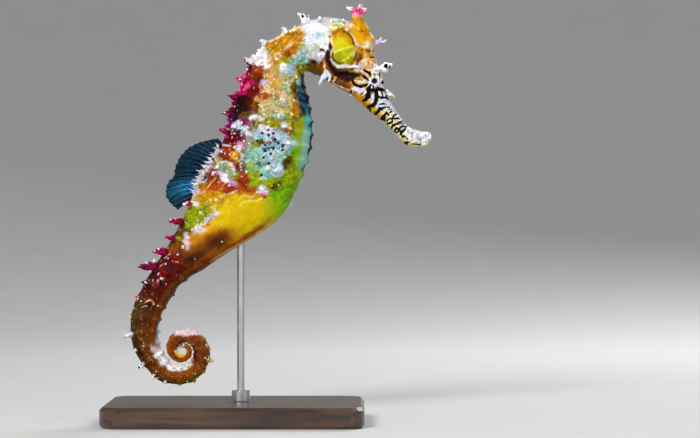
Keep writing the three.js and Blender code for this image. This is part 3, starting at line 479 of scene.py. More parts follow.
# Patches on the side of the head and the body: (colour, x, z, half length, half height) in mm, and
# the lean in degrees of those that lean.
SPOTS = [
    ("gold", 30.4, 91.6, 4.8, 4.6), ("amber", 24.4, 92.6, 1.8, 3, 12), ("pale", 19.8, 93.4, 3.6, 3.8),
    ("pale", 17.4, 95.8, 1.8, 2.4), ("white", 19, 94.4, 1.8, 1.2), ("ice", 20.4, 92.6, 1.4, .8, 20),
    ("white", 21.4, 94.2, .9, .9), ("pale", 24, 96.4, 2.6, .7, 4), ("mint", 25.2, 95.9, 1.2, .35, 4),
    ("butter", 24.7, 95.1, 2.3, .75, 8), ("white", 21.6, 91.1, .9, 1.1), ("cream", 22.9, 91.9, .8, 1.5, 10),
    ("peach", 22.9, 93, .6, .7), ("mauve", 22.6, 92, .22, .22), ("sage", 21.7, 92, .25, .2),
    ("shell", 27.3, 95.8, .8, .7), ("ochre", 29.9, 95.4, .8, 1), ("orange", 31.6, 93.4, 1.2, .8),
    ("amber", 14, 92.8, 2.7, 1.7, 4), ("gold", 13, 91.2, 1.8, .5), ("peach", 13.4, 90.2, .5, .45),
    ("butter", 13.8, 90.7, .35, .2), ("orange", 13.7, 88.9, 1.7, 1, 8), ("ochre", 8.2, 88.8, 1.1, .8),
    ("ochre", 12.6, 86.8, 1.6, .9), ("tawny", 12.8, 88.2, .7, .8), ("throat", 16.8, 89.1, 1.5, 2),
    ("ice", 17, 88, 1, .9), ("oat", 16.4, 90.1, .9, .7), ("sage", 16.8, 90.1, .18, .5),
    ("moss", 17.4, 88.6, .14, .5), ("mint", 15.7, 86.6, 2.4, .7), ("ice", 14, 85.2, .8, .8),
    ("shell", 19.4, 88.8, .8, 1.6), ("cream", 20, 90.3, .7, .5), ("pale", 21.4, 90.6, .9, 1.3, 20),
    ("mauve", 20.3, 89.1, 1.1, .45, -8), ("maroon", 20.9, 89.2, .5, .3), ("lilac", 20.1, 87.7, 1.7, .95, -8),
    ("white", 20.6, 88, .9, .45), ("pink", 20.4, 86.9, .4, .35), ("maroon", 19.5, 86.2, 1.3, .6, -15),
    ("umber", 20.4, 84.9, 1.1, 1), ("ochre", 16.3, 84.6, 1, 1.1), ("brick", 22.8, 89.8, .5, .95, 12),
    ("umber", 24.2, 83.8, 3.4, 4.4, 36), ("lemon", 26, 89.6, 2.7, 4.4, 8), ("amber", 26.3, 93.1, 2.2, 1.3, -25),
    ("amber", 27.9, 91.1, .7, 1.5, 12), ("amber", 23.9, 92.2, .5, 1.2, 10), ("ochre", 24.7, 87.4, 1.3, 1.7, 15),
    ("ochre", 27.4, 86.9, 1.5, 1), ("leaf", 27.2, 88.9, 1.1, .6, 20), ("umber", 29.9, 88.2, 1.1, 2.2, -8),
    ("cream", 32.2, 90.3, 1.4, .8, -10), ("amber", 30.6, 89, 1.5, .8), ("olive", 31.8, 89.1, .6, .3),
    ("brick", 30.4, 89.1, .38, .34), ("tan", 31.6, 87.3, .8, .7, 40), ("peach", 33.1, 88.6, .55, 1.4, 20),
    ("peach", 33.1, 86.6, .6, .6), ("cream", 30.7, 86.7, .9, .4, 20), ("copper", 31.7, 85.6, .6, .75, -10),
    # The maroon under the cheek fold is partly the skin's own colour, partly painted shade in the hollow.
    ("cream", 31, 85.6, .9, .6, 30), ("peach", 32.6, 85, .9, .9), ("maroon", 26.3, 83.3, 3, .85, 3),
    ("maroon", 27, 82.4, 1.7, .8), ("maroon", 28.8, 83.2, 1.6, .55, 6), ("peach", 31, 83.6, .9, .4, -25),
    ("tan", 29.6, 82.4, .6, .4), ("cream", 30.2, 81.7, 1.4, .48, 2), ("white", 31.9, 81.4, .8, .4),
    ("white", 29.6, 79.7, 1.5, .75, 4), ("white", 28.5, 80.1, .5, .5), ("peach", 29.4, 78.7, .6, .25),
    ("amber", 29.9, 77.9, 1.9, .75, -46), ("white", 31.1, 78.9, .35, .55, -30),
    ("ochre", 31.6, 76.1, 1.1, .5, -44), ("ochre", 33.2, 75, .8, .7), ("white", 33.4, 81.9, 1.9, 1.5),
    ("white", 34.2, 84.9, .8, 1.4), ("cream", 33.1, 83.6, .7, 1), ("olive", 33.35, 83.2, .24, .5),
    ("peach", 32.2, 85, .6, .5), ("butter", 35.7, 83.2, .8, .9), ("butter", 36.1, 80.9, .9, .8),
    ("ice", 34.6, 81.2, .7, .5), ("white", 33.2, 80.8, 1.2, .5), ("olive", 33, 79.4, .5, .6),
    ("ice", 33, 77.9, .36, 1.1), ("white", 35, 78.9, .7, .6), ("mint", 36.1, 79, .6, .5),
    ("white", 37.2, 78.5, .6, .6), ("ice", 35.6, 76.9, 1.5, .55), ("ice", 35.6, 75.8, 1.7, .5, -8),
    ("white", 36.7, 75, .9, .7, -45), ("gold", 34.4, 73.6, .9, .6, 40), ("lemon", 32.8, 75, 1, .5, 30),
    ("rust", 39.3, 70.5, .3, .3), ("brown", 35.6, 73, .7, .6), ("white", 43.9, 68.8, 3.3, 1.7, -12),
    ("throat", 41.8, 69.4, .4, .35), ("ice", 44.4, 68, 1, .4), ("ice", 45.5, 68.7, .5, .3),
    ("shell", 43.7, 69, .4, .3), ("sage", 42.3, 68.4, .3, .3), ("slate", 44.4, 67.8, .3, .18),
    ("cream", 44, 66.5, 2.6, .4), ("tan", 42.6, 66.9, 1.1, .3), ("brown", 41.1, 67, .5, .28, -15),
    ("white", 6.2, 87.8, 2.1, 1.2, 40), ("white", 2.6, 87.9, 1, .5), ("peach", 8.4, 87, .8, .6),
    ("rust", 4.2, 83.2, 2.9, 2.2, 25), ("copper", 5.6, 84.6, 1.6, .7, 25), ("wine", 2.4, 82.2, 1.2, .8),
    ("brown", 6, 81.9, 1.6, .8), ("tan", 9.2, 82.6, 1.8, 1.3), ("throat", 12, 82.2, 1, 2.2),
    ("tan", 9.2, 79.6, 3, 2.4), ("peach", 8, 80, .8, 1.4), ("gold", 9.8, 81, 1, .5),
    ("tan", 8.6, 76.2, 4.6, 2.4), ("oat", 12.4, 79.6, 1.6, 3.8), ("throat", 12.8, 80.4, .5, 1.6),
    ("oat", 10.4, 75.8, 2.8, 1.8), ("ochre", 9.2, 72.8, 4.4, 2.2), ("oat", 9, 74.6, 3.8, 1.4),
    ("throat", 10.6, 73.4, 1.6, .6), ("peach", 11.6, 78, .7, 1.4), ("oat", 9.6, 77.4, 1.2, .8),
    ("ochre", 13.6, 79.4, .5, 1.2), ("magenta", 1.6, 80, 3.6, 1.9, 18), ("purple", -1.2, 79.2, 1.3, 1.3),
    # The pink spot at (0.6, 79.8) is a painted highlight on the magenta.
    ("crimson", 4.6, 79.6, 1.6, 1.6, -40), ("rose", 2.6, 80.6, 1.4, .7), ("pink", .6, 79.8, .8, .4, 20),
    ("copper", 7, 78.2, 1.5, 1), ("maroon", 1.6, 76.7, 2.9, 1.9, 15), ("purple", -1.4, 76.2, .9, 2.2),
    ("brick", 4, 76.2, 1.1, 1.4), ("maroon", 1.2, 74.6, 2.2, 1.2), ("umber", 5.2, 75.4, 1.1, 1.3),
    ("navy", 0, 73, 1, .9), ("olive", 3.2, 73.4, 1.7, 1), ("magenta", -2.4, 73, 1.3, 2.2, -25),
    ("magenta", -3.6, 70.9, 1.3, 1), ("lilac", 7, 81.3, 1, .8), ("pale", 5.3, 73, 1.7, .6, -10),
    ("white", 5, 72.9, .8, .4), ("olive", 5.6, 71.2, 1.1, .9), ("umber", 12.2, 69.6, 1.4, 1.1),
    # The pale spots at (11.7, 76.9) and (12, 71.4) are painted highlights.
    ("pale", 11.7, 76.9, .7, .8), ("pale", 12, 71.4, .8, .9), ("amber", 14.6, 75, .9, 2),
    ("olive", 14.4, 80.2, .7, 1.5), ("oat", 14.6, 82.8, .9, .8), ("ochre", 14.6, 71, 1.3, 2.2),
    ("leaf", 14.8, 68, 1.2, 2.2), ("wine", -.6, 67.8, 2.4, 1.5, 20), ("magenta", -2.4, 69, 1.2, .8),
    # The slate spots at (-0.6, 70.2) and (1.2, 69.9) are painted shadows among the white flakes.
    ("crimson", -.6, 67.4, 1, .7), ("pale", -1.6, 70.9, 1.8, .8), ("slate", -.6, 70.2, .8, .35, 20),
    ("white", .3, 71.4, 1.5, .7, 15), ("ice", 1.8, 70.2, 1.6, .8, -25), ("white", 2.6, 70.6, .9, .5),
    ("white", 3.4, 69.2, 1, .7, -30), ("slate", 1.2, 69.9, .5, .25), ("rust", -1.9, 65, 2.2, 1.7, 20),
    ("copper", -1, 64.6, 1.2, 1), ("gold", .4, 63.9, 1.3, 1.2), ("pink", 1.6, 66.4, 1.2, .7, -40),
    ("white", 1.3, 65.4, .7, .9), ("ochre", -4.2, 62.4, 1.4, 1.4), ("sage", -2, 60.8, 2.3, 2),
    ("oat", -.8, 61.6, 1.2, 1), ("mint", 2.9, 62.4, .8, 2.8), ("umber", 1.9, 61.8, .8, 2.9),
    ("rust", 2.4, 58.2, 1.6, 2), ("leaf", 4.4, 60, 1.1, 3.6), ("ice", 9.2, 67.4, 4.4, 2.9, -8),
    ("ice", 13.8, 66.8, 1.3, .7), ("ochre", 5.2, 66.3, 1.2, 1.4), ("pale", 7.2, 70.2, 2, .9),
    ("lilac", 9.2, 69.2, 1.2, .8), ("mint", 6.4, 63.8, 3.2, 2.2), ("ice", 9, 62.4, 2.8, 2.4, -30),
    ("mint", 7, 60.2, 2.6, 2.2), ("leaf", 5.4, 58.6, 1.2, 2), ("ice", 10.2, 59.9, 1.9, 1.3),
    # The white spots at (10.4, 60.6), (8.4, 70.4) and (12.8, 66.9) are painted highlights on the pale patch.
    ("white", 10.4, 60.6, .9, .4, 30), ("white", 8.4, 70.4, .9, .35, 10), ("white", 12.8, 66.9, .8, .35),
    ("umber", 8.3, 67, .8, .45), ("steel", 8.6, 65.6, 1.5, .42, 12), ("steel", 9.6, 67.4, .9, .35, -30),
    ("olive", 6.4, 67.2, .9, .7), ("steel", 11.4, 66, .9, .3, 20), ("olive", 6.2, 61.8, .9, .5),
    ("pale", 10.6, 68.4, .8, .5), ("white", 8, 61.4, .7, .35), ("throat", 9.8, 63.6, 1, .5),
    ("white", 11.2, 59.6, .9, .5, 30), ("olive", 12.8, 62.4, 1.2, 1.6, -30),
    ("leaf", 13.4, 59.4, 1.8, 2.4, -20), ("olive", 10.4, 56.6, 1.6, 1), ("lime", 12.6, 55.4, 2, 2.2),
    ("copper", -4.6, 57, 2.2, 1.4, 25), ("pale", -1.8, 58.4, 2.6, .8, -38), ("pink", -.4, 57, 1.2, .5, -35),
    ("rust", -.8, 55.9, 1.8, .8, 15), ("pale", 6.9, 55.8, 1.2, .9), ("pink", 7.2, 54.9, .8, .5),
    ("crimson", 7.5, 54.1, .5, .35), ("magenta", -5.6, 60.6, 1.1, .5, -35), ("magenta", .6, 61.4, .5, 1.1, 25),
    ("maroon", -7.4, 58.6, 1.1, .8, 20), ("leaf", -7.8, 50, 1.3, 1.6), ("pale", -6.2, 48.6, 1.2, .5, 40),
    ("pale", -9, 46.2, .8, .9), ("amber", -9.2, 44, 1.3, 1.3), ("tawny", -4.6, 43.2, 5.6, 2.8, 24),
    ("sienna", -4.2, 43.6, 3.4, 2, 30), ("brown", -4.2, 43.4, 2.6, 1.1, 30), ("sienna", -9.6, 40, 3.6, 1.6, 28),
    ("brown", -9.4, 39.8, 3, .9, 28), ("pale", -4.8, 49.8, 1, .6, 30), ("pink", -4.6, 49.4, .4, .3),
    ("pale", -8, 46.3, 1, .6, -20), ("leaf", -8.9, 48, 1, .7, 40), ("pale", -9.2, 52.6, .6, .9),
    ("pear", -7.2, 51.4, 1, .9), ("shell", -11.6, 45, .6, .7), ("mauve", -11, 42.4, .7, .4),
    ("ochre", -13.4, 44.2, .8, .6), ("shell", -11.4, 43, .6, 1.2, 20), ("tawny", -14.2, 42, 1.8, 1, 40),
    ("crimson", -13.8, 39.8, 1.5, 1.4, 20), ("wine", -16.2, 38.2, 1.4, 1.2), ("pink", -18, 34, .35, .7),
    ("crimson", -17.2, 35.6, .6, 1.6, -20), ("brick", -20.6, 31.6, 1.9, 2.8, 20),
    # The shell and white at (-19.2, 18), (-17.4, 15.8) and (-15, 13.9) are a painted sheen inside the bend.
    ("maroon", -20.8, 33.2, .8, 1.3), ("maroon", -17.6, 33.4, .5, 1.6, -25), ("shell", -19.2, 18, .8, .9),
    ("white", -17.4, 15.8, 1.9, 1.2, -50), ("white", -15, 13.9, 2.6, .9, -22), ("shell", -12, 22.2, 3.6, 1.3),
    ("lilac", -11.8, 22.9, 2.6, .7), ("olive", -7.4, 19.2, .6, .9), ("cream", -13.2, 17.2, .8, 1),
]
# Thin strokes of colour on the side: the colour, half the width, and the corners' x and z, in mm.
STROKES = [
    # The cream stroke along the top of the neck is a painted highlight on its ridge.
    ("cream", .34, 15.6, 95, 13.5, 94.1, 11.5, 92.9, 9.5, 92, 7.6, 90.8, 6.4, 89.3),
    ("peach", .18, 9.2, 86.2, 8.6, 85.2, 7.8, 83.2), ("cream", .28, 26.7, 94, 27.8, 95, 28.3, 96.4, 28.4, 97.8),
    ("peach", .34, 30.4, 95.2, 32.2, 94.2, 33.4, 92.6, 33.9, 91.2),
    ("straw", .24, 23.9, 88.5, 26, 89.4, 28.3, 89.9), ("straw", .2, 25.8, 86.5, 27.2, 87.3, 28.3, 88.7),
    # The moss stroke under the gill cover's rim is a painted shadow line.
    ("moss", .17, 23.5, 88.5, 23.5, 87.2, 24.1, 86.3, 25.2, 85.9, 25.9, 86.1),
    ("brown", .13, 26, 93.6, 27.3, 92.9, 28.2, 91.7, 28.5, 90.3),
    ("cream", .17, 27.8, 93.2, 28.7, 91.7, 29, 90.3, 29, 89.1, 28.5, 87.9),
    ("cream", .2, 29, 90.9, 29.9, 90.1, 31.4, 89.8),
    ("umber", .5, 22, 87.6, 21.9, 86, 22.4, 84.4, 23.3, 82.9, 24.8, 81.7, 27.6, 80.5),
    # The brick and maroon strokes inside the jaw ridge are partly the skin's own colour, partly painted shade.
    ("brick", .55, 22.4, 88.6, 22.3, 87.2, 22.7, 85.9, 23.5, 84.5, 24.6, 83.4),
    ("maroon", .36, 22.1, 88.3, 22.2, 87.2, 22.6, 85.9, 23.5, 84.4, 24.4, 83.4, 26, 82.9),
    ("amber", .15, 23.1, 87.3, 23.4, 86.1, 24, 85), ("olive", .34, 24.2, 84.9, 25.4, 84.5, 28.6, 84.6),
    ("shell", .26, 28.6, 84.5, 30.6, 84.2), ("white", .2, 23, 87, 23.5, 86.2, 24.2, 85.5),
    ("white", .34, 24.3, 85.4, 25.2, 85.15, 27.5, 85.3, 29.3, 85.25, 30.2, 85.1),
    ("lilac", .3, 30, 85.9, 30.3, 85),
    ("peach", .17, 21.4, 86.4, 21.6, 84.6, 22.4, 82.9, 23.5, 81.5, 25.1, 80.6, 27.6, 79.6),
    ("pink", .16, 27.9, 80.5, 27.9, 79.8), ("oat", .1, 7, 85, 7.2, 81.4, 6.6, 77.4, 5.8, 73, 4, 68, 1, 62),
    ("tan", .1, 13.2, 82.4, 13.4, 78, 13.8, 75, 13.4, 71, 12.9, 68, 12.2, 64),
    ("steel", .34, 15.2, 80.4, 16.2, 79.2), ("steel", .3, 15.5, 78.6, 16.7, 77.6),
    ("steel", .34, 15.9, 76.6, 17.1, 75.4), ("pale", .2, -5.4, 64.2, -3.8, 65.6, -2.6, 66.6, -1, 66.2),
    ("pale", .17, 1, 65.6, 2, 63.8, 1.6, 61), ("pale", .18, -4, 62.2, -1.8, 62.6, -.2, 61.4, .2, 59.4),
    ("pink", .16, -4.4, 60, -3.2, 59.4, -2.6, 58.2), ("peach", .16, -6.8, 55.6, -5.6, 57.4, -4.4, 58.6),
    ("crimson", .22, -1, 63.4, .2, 62, 1.2, 60.4), ("peach", .2, -4.2, 53.4, -2.6, 54.6, -.8, 54.8, .8, 55.6),
    ("peach", .15, 2.6, 54.4, 4.4, 54, 5.2, 54.8),
    ("straw", .22, 1.3, 51.6, 1.9, 52.8, 3.6, 53.3, 5.5, 53, 6.6, 53.9),
    ("tan", .12, 9.2, 48.7, 7, 46.6, 4.6, 44.9, 2.4, 43.6, -2, 41.2, -6, 38.6),
    ("peach", .12, -21.2, 28.9, -20.4, 29.5, -19.6, 29.2, -19.2, 28.4),
    ("gold", .15, -18.6, 36.4, -17.8, 37.6, -17, 38), ("cream", .14, -16.6, 39.6, -15.4, 40.6),
]
# Black bars of the face: half the width at the start and at the end, and the corners' x and z, in mm.
BARS = [
    (.24, .2, 34.7, 83.75, 34.65, 82.5), (.26, .24, 35.5, 84.9, 35.3, 84.2), (.16, .12, 35.55, 84, 35.6, 83.5),
    (.4, .34, 35.3, 81.4, 35.75, 81.95), (.1, .13, 33.75, 84.8, 33.75, 84.1),
    (.26, .32, 31, 84.3, 31.8, 83.9, 32.3, 83.6), (.32, .18, 32.3, 83.8, 32.4, 83.2, 32.75, 82.5),
    (.32, .3, 30.75, 83.1, 31, 82.7, 31.6, 82.3), (.16, .11, 31.5, 82.2, 32.1, 81.95),
    (.24, .38, 28.2, 82.1, 28.5, 81.2, 29.2, 80.55, 30.1, 80.45),
    (.38, .28, 30.1, 80.45, 31, 80.75, 31.6, 80.95), (.16, .5, 32.7, 80.95, 32.2, 80.4, 32, 79.8),
    (.52, .62, 32, 79.8, 32, 78.9, 31.9, 78.2), (.55, .28, 31.9, 77.9, 31.3, 77.4, 30.7, 77.15),
    (.1, .17, 33.15, 80.8, 33.3, 80.2, 33.3, 79.8), (.36, .42, 32.8, 79.7, 33.7, 79.7, 34.4, 79.95, 35.2, 79.8),
    (.38, .26, 35.2, 79.8, 36, 79.65, 36.6, 79.75), (.44, .52, 33.9, 79.5, 33.9, 78.6, 33.9, 77.6),
    (.52, .44, 33.9, 77.6, 33.7, 76.7, 33.3, 76.1), (.42, .36, 33.3, 76.1, 32.6, 75.9, 31.9, 75.6),
    (.33, .26, 34.1, 78.2, 35.1, 77.9, 36.1, 77.95), (.24, .14, 36.1, 77.95, 36.8, 77.5),
    (.12, .16, 35.25, 79.4, 35.3, 78.9, 35.4, 78.3), (.2, .2, 36.3, 78.35, 36.9, 78.6),
    (.17, .15, 34.8, 76.3, 35.5, 76.4, 36.3, 76.2), (.26, .22, 35.3, 75, 35.5, 75.5, 36, 75.6),
    (.16, .14, 36.5, 75.6, 37.1, 75.5), (.22, .14, 32.3, 75.4, 32.5, 74.5),
    (.44, .34, 34.7, 75.2, 34.5, 74.7, 33.9, 74.2), (.34, .26, 34, 74.2, 33.3, 73.8, 32.6, 73.5),
    (.14, .18, 30.3, 78.7, 31.2, 79.6), (.24, .18, 27.85, 79.5, 27.7, 79), (.14, .18, 32.5, 87.5, 33.3, 87.6),
    (.12, .12, 33.3, 89.2, 33, 89), (.15, .22, 29.2, 85.7, 29.5, 85.7), (.28, .26, 36.3, 74.3, 36.8, 73.8),
    (.28, .44, 36, 73.9, 35.6, 73.2), (.5, .3, 35.6, 73.2, 35.2, 72.8, 34.9, 72.6),
    (.16, .24, 36.5, 72.3, 36.8, 72.75, 37.3, 72.9, 37.7, 72.6, 37.65, 72.1),
    (.3, .24, 37.5, 72, 36.9, 71.75, 36.2, 71.6), (.17, .14, 37.6, 72.9, 38.3, 72.9, 39.1, 73.1),
    (.17, .15, 37.8, 73.2, 38, 73.6, 38.7, 73.9), (.18, .14, 37.5, 74.6, 37.1, 74.3),
    (.12, .17, 39, 72.1, 39.6, 72.1, 40.3, 72.4), (.18, .24, 37.3, 70.2, 37.7, 70.9),
    (.34, .28, 37.9, 71.2, 38.3, 71.4), (.26, .15, 38.4, 71.5, 39.1, 71.65, 39.8, 72),
    (.32, .3, 38.7, 70.5, 38.8, 70.55), (.2, .18, 38.4, 70.3, 38.35, 69.8, 38.8, 69.5, 39.2, 69.7),
    (.32, .24, 39.3, 70, 39.4, 70.5), (.24, .17, 39.4, 70.6, 39.9, 70.9, 40.6, 71.2),
    (.28, .34, 39.7, 69.1, 39.9, 69.6, 40.4, 70), (.26, .13, 40.4, 70, 41, 70.7),
    (.3, .26, 40.2, 68.6, 40.5, 68.6), (.13, .17, 40.9, 68.4, 41.4, 68), (.32, .3, 40.7, 67.15, 41.2, 66.9),
    (.15, .13, 41.4, 67.3, 41.8, 67.3), (.1, .14, 42.7, 66.8, 44.4, 66.7), (.1, .12, 38.3, 72.75, 39.6, 72.95),
    (.1, .13, 39.9, 71.6, 40.9, 71.9), (.09, .12, 36.6, 74.9, 37.6, 75.2), (.09, .12, 40.7, 70.9, 41.5, 71.2),
    (.09, .11, 35.8, 76.9, 37, 77),
]
# Pale petals between the bars, written like the strokes.
PETALS = [
    ("cream", .24, 32.95, 82.7, 32.9, 83.7), ("white", .4, 33.6, 85.6, 33.4, 84.6),
    ("white", .36, 34.3, 85.2, 34.2, 84.5, 34, 83.7), ("throat", .08, 34, 84.8, 34, 84.2),
    ("ochre", .16, 33.3, 83.6, 33.4, 83.1), ("white", .24, 35.15, 82.3, 34.95, 81.9),
    ("butter", .34, 35.35, 83.4, 35.5, 82.7), ("white", .26, 36, 83, 36.1, 82.6),
    ("white", .28, 34.5, 81.7, 34.8, 81.1, 35.3, 80.7), ("cream", .34, 35.8, 80.6, 36.3, 80.5),
    ("lilac", .14, 32.85, 80.7, 32.8, 80.2), ("lilac", .13, 33.95, 80.5, 33.6, 80.1),
    ("white", .24, 32.7, 81.9, 32.2, 81.4), ("cream", .3, 31.4, 81.6, 30.3, 81.6, 29.3, 81.8),
    ("shell", .2, 29.4, 81.3, 30.4, 81.1), ("shell", .26, 30.7, 83.7, 31.4, 83.4),
    ("cream", .26, 31.7, 83.1, 32.3, 82.5), ("pale", .3, 33.2, 78.6, 33.05, 77.6, 32.8, 76.9),
    ("white", .24, 34.9, 79, 34.85, 78.4), ("pale", .24, 35.8, 79, 35.9, 78.4),
    ("white", .24, 36.5, 79, 37.2, 78.7), ("pale", .3, 34.5, 76.7, 35.4, 77.1, 36.2, 77, 36.8, 76.7),
    ("pale", .16, 34.2, 75.8, 35.2, 75.8, 35.9, 76, 36.8, 75.9), ("white", .19, 30.9, 78.7, 31.4, 79.2),
    ("pale", .5, 28.9, 79.95, 30.2, 79.45), ("white", .26, 30.9, 79.9, 31.1, 79.4),
    ("peach", .2, 29.2, 78.75, 29.9, 78.6), ("cream", .3, 32.3, 77.3, 32.6, 76.7),
    ("olive", .12, 29, 82.1, 30.6, 82), ("cream", .2, 37.1, 72.35, 37.3, 72.45),
    ("tan", .15, 38.7, 70, 38.75, 69.9), ("butter", .15, 34.3, 72.7, 36, 71.9, 36.4, 71.3, 37.2, 71),
]
DOTS = [
    (6.8, 69.2), (8.2, 70), (8.3, 68.8), (9.4, 69.2), (9.8, 67.8), (7.5, 66.4), (9.4, 65.7), (11.7, 66.4),
    (11.5, 65.2), (8.8, 64.3), (7.1, 63.5), (8.3, 62), (6.6, 59.3), (7.5, 65), (5.6, 67.4), (10.6, 66.9),
]
FINE_DOTS = [
    (9.8, 79.8), (8.9, 78.4), (10.7, 77.4), (8.8, 74.6), (10.3, 73), (12, 82), (10.8, 70.8), (7.5, 71.5),
    (17.4, 94.7), (18.6, 92.8), (17.8, 93.6), (16.8, 91.6), (19.1, 90.3), (35.2, 79), (42.5, 69.5),
    (-6.2, 47.6), (-4.6, 50), (-9.4, 53.2),
]
# Slate specks in the pale places: (strength, x, z, half length, half height), in mm.
SPECKLES = [
    (.6, 19.6, 93.4, 3.4, 3.4), (.7, 43.8, 68.6, 3, 1.6), (.6, .6, 71.2, 3.4, 1.4), (.5, 36, 75.8, 1.6, 1.6),
    (.9, 9, 66.4, 4.2, 4.6), (.6, 9.5, 76, 5, 8), (.5, 2, 61, 7, 6),
]
# White granules over the ground: (strength, ring, share from back to belly, half length, half share).
FROSTINGS = [
    (.3, 0, .2, .5, .35), (.3, 2.75, .1, .4, .22), (.15, 7, .16, .5, .16), (.2, 7.3, .52, .8, .22),
    (.16, 4.6, .45, 1.8, .17), (.2, 8.2, .55, .9, .14), (.2, 9.4, .68, .6, .1), (.22, 9.8, .3, .9, .14),
    (.2, 2.2, .56, .5, .12), (.22, 12.8, .28, 1.4, .1), (.2, 8.4, .2, 1.2, .2), (.1, 16.5, .3, 2, .2),
]
# Smooth glossy places: (how smooth, x, z, half length, half height), in mm.
SMOOTH_PLACES = [
    (.8, 26, 89.4, 2.7, 4), (.8, 30.6, 94.2, 3.2, 6.4), (.5, 19.8, 93.4, 3.4, 3.8), (.8, 4.5, 49, 9.5, 5.2),
    (.9, -5, 43, 8, 3.8), (.8, 17.5, 68, 3.2, 17), (.35, -20, 24, 8, 9), (.35, -10, 16, 9, 8),
]
PLATE = 0.6  # across the plates that the pattern breaks up into behind the neck, in mm
EDGE_RAMP = 0.30  # mm over which a crisp mark goes from none to full
HOLLOW_SHADE = 0.75  # how much paler the pigment is for each mm that the skin stands out


def within(distance, softness):
    """1 inside a patch, where distance is below 1, and 0 outside it."""
    return 1 - smooth(distance, 1 - softness, 1 + softness)


def corners(line):
    return list(zip(line[::2], line[1::2]))


def lay(base, name, share):
    """Paints a palette colour over base, a row for each point."""
    return base + (colour(name) - base) * share[:, None]


def ground_colours(ring, across):
    numbers = [row[0] for row in GROUNDS]
    bands = [np.array([colour(row[k]) for row in GROUNDS]) for k in (1, 2, 3)]
    back, flank, belly = (
        np.stack([np.interp(ring, numbers, band[:, c]) for c in range(3)], axis=1) for band in bands)
    to_flank = smooth(across, 0.18, 0.42)[:, None]
    to_belly = smooth(across, 0.68, 0.86)[:, None]
    return (back * (1 - to_flank) + flank * to_flank) * (1 - to_belly) + belly * to_belly


def chipped(points, size):
    """Points drawn towards the middles of uneven cells, so that a pattern breaks up into plates."""
    middles = np.array([noise.voronoi(Vector(p) / size)[1][0] for p in points]) * size
    return middles - points


def paint(points, ring, across):
    """The pigment at points in mm, and the ink, frost, specks and grain that lie over it."""
    x, y, z = points.T
    drift = [cloud(points, 1.3, seed) for seed in (3, 4)]
    fine = [cloud(points, 0.45, seed) for seed in (5, 6)]
    grain = np.ones(len(x))
    for strength, cx, cz, half_x, half_z in SMOOTH_PLACES:
        distance = np.hypot((x + 0.3 * drift[0] - cx) / half_x, (z + 0.3 * drift[1] - cz) / half_z)
        grain = np.minimum(grain, 1 - strength * within(distance, 0.2))
    smooth_here = 1 - grain
    chip = chipped(points, PLATE) * (0.6 * smooth(ring, 1.5, 3.5) * grain)[:, None]
    wx = x + 0.30 * drift[0] + 0.12 * fine[0] + chip[:, 0]
    wz = z + 0.30 * drift[1] + 0.12 * fine[1] + chip[:, 2]
    wring, wacross = ring + 0.12 * drift[0] + 0.05 * fine[0], across + 0.022 * drift[1] + 0.010 * fine[1]
    pigment = ground_colours(wring, wacross)
    for name, r, a, half_r, half_a in PATCHES:
        distance = np.hypot((wring - r) / half_r, (wacross - a) / half_a)
        pigment = lay(pigment, name, within(distance, 0.2 + 0.36 * smooth_here))
    for name, cx, cz, half_x, half_z, *lean in SPOTS:
        lean = math.radians(sum(lean))
        c, s = math.cos(lean), math.sin(lean)
        dx, dz = wx - cx, wz - cz
        distance = np.hypot((dx * c + dz * s) / half_x, (dz * c - dx * s) / half_z)
        soft = min(0.4, max(0.12, 0.24 / min(half_x, half_z)))
        pigment = lay(pigment, name, within(distance, soft + 0.42 * smooth_here))
    for name, half_width, *line in STROKES:
        distance = from_polyline(x + 0.10 * fine[0], z + 0.10 * fine[1], corners(line)) / half_width
        pigment = lay(pigment, name, within(distance, 0.35))
    pigment = pigment * (1 + (0.22 * fine[1] + 0.08 * drift[0]) * grain)[:, None].clip(0.5, 1.4)
    ink = np.zeros(len(x))
    jx, jz = x + 0.07 * fine[0], z + 0.07 * fine[1]
    for start, end, *line in BARS:
        ink = np.maximum(ink, 0.5 + (0.04 + inside_bar(jx, jz, start, end, corners(line))) / EDGE_RAMP)
    for name, half_width, *line in PETALS:
        petal = within(from_polyline(jx, jz, corners(line)) / half_width, 0.3)
        pigment, ink = lay(pigment, name, petal), ink * (1 - petal)
    for spots, radius in ((DOTS, 0.36), (FINE_DOTS, 0.18)):
        for cx, cz in spots:
            ink = np.maximum(ink, 0.5 + (radius - np.hypot(jx - cx, jz - cz)) / EDGE_RAMP)
    frost = np.full(len(x), 0.02)
    for strength, r, a, half_r, half_a in FROSTINGS:
        distance = np.hypot((wring - r) / half_r, (wacross - a) / half_a)
        frost = np.maximum(frost, strength * within(distance, 0.5))
    specks = np.full(len(x), 0.12)
    for strength, cx, cz, half_x, half_z in SPECKLES:
        distance = np.hypot((wx - cx) / half_x, (wz - cz) / half_z)
        specks = np.maximum(specks, strength * within(distance, 0.3))
    return pigment, np.stack([ink.clip(0, 1), frost.clip(0, 1) * grain, specks * grain, grain], axis=1)


VECTORS = ("aim", "bend", "root_uv")


def keep(piece, **values):
    """Stores values on a piece's points: numbers, vectors, or colours, which get an alpha of 1."""
    for name, rows in values.items():
        rows = np.asarray(rows, np.float32)
        kind, field = ("FLOAT_VECTOR", "vector") if name in VECTORS else ("FLOAT_COLOR", "color")
        if rows.ndim == 1:
            kind, field = "FLOAT", "value"
        elif field == "color" and rows.shape[1] == 3:
            rows = np.column_stack([rows, np.ones(len(rows), np.float32)])
        piece.data.attributes.new(name, kind, "POINT").data.foreach_set(field, rows.ravel())


pigment, marks = paint(skin_points, skin_ring, skin_across)
pigment *= np.clip(0.93 + HOLLOW_SHADE * skin_rise, 0.55, 1.02)[:, None]
pigment = np.concatenate([pigment, pigment[[0, -1]]])
marks = np.concatenate([marks, marks[[0, -1]]])
keep(skin, pigment=pigment, marks=marks)


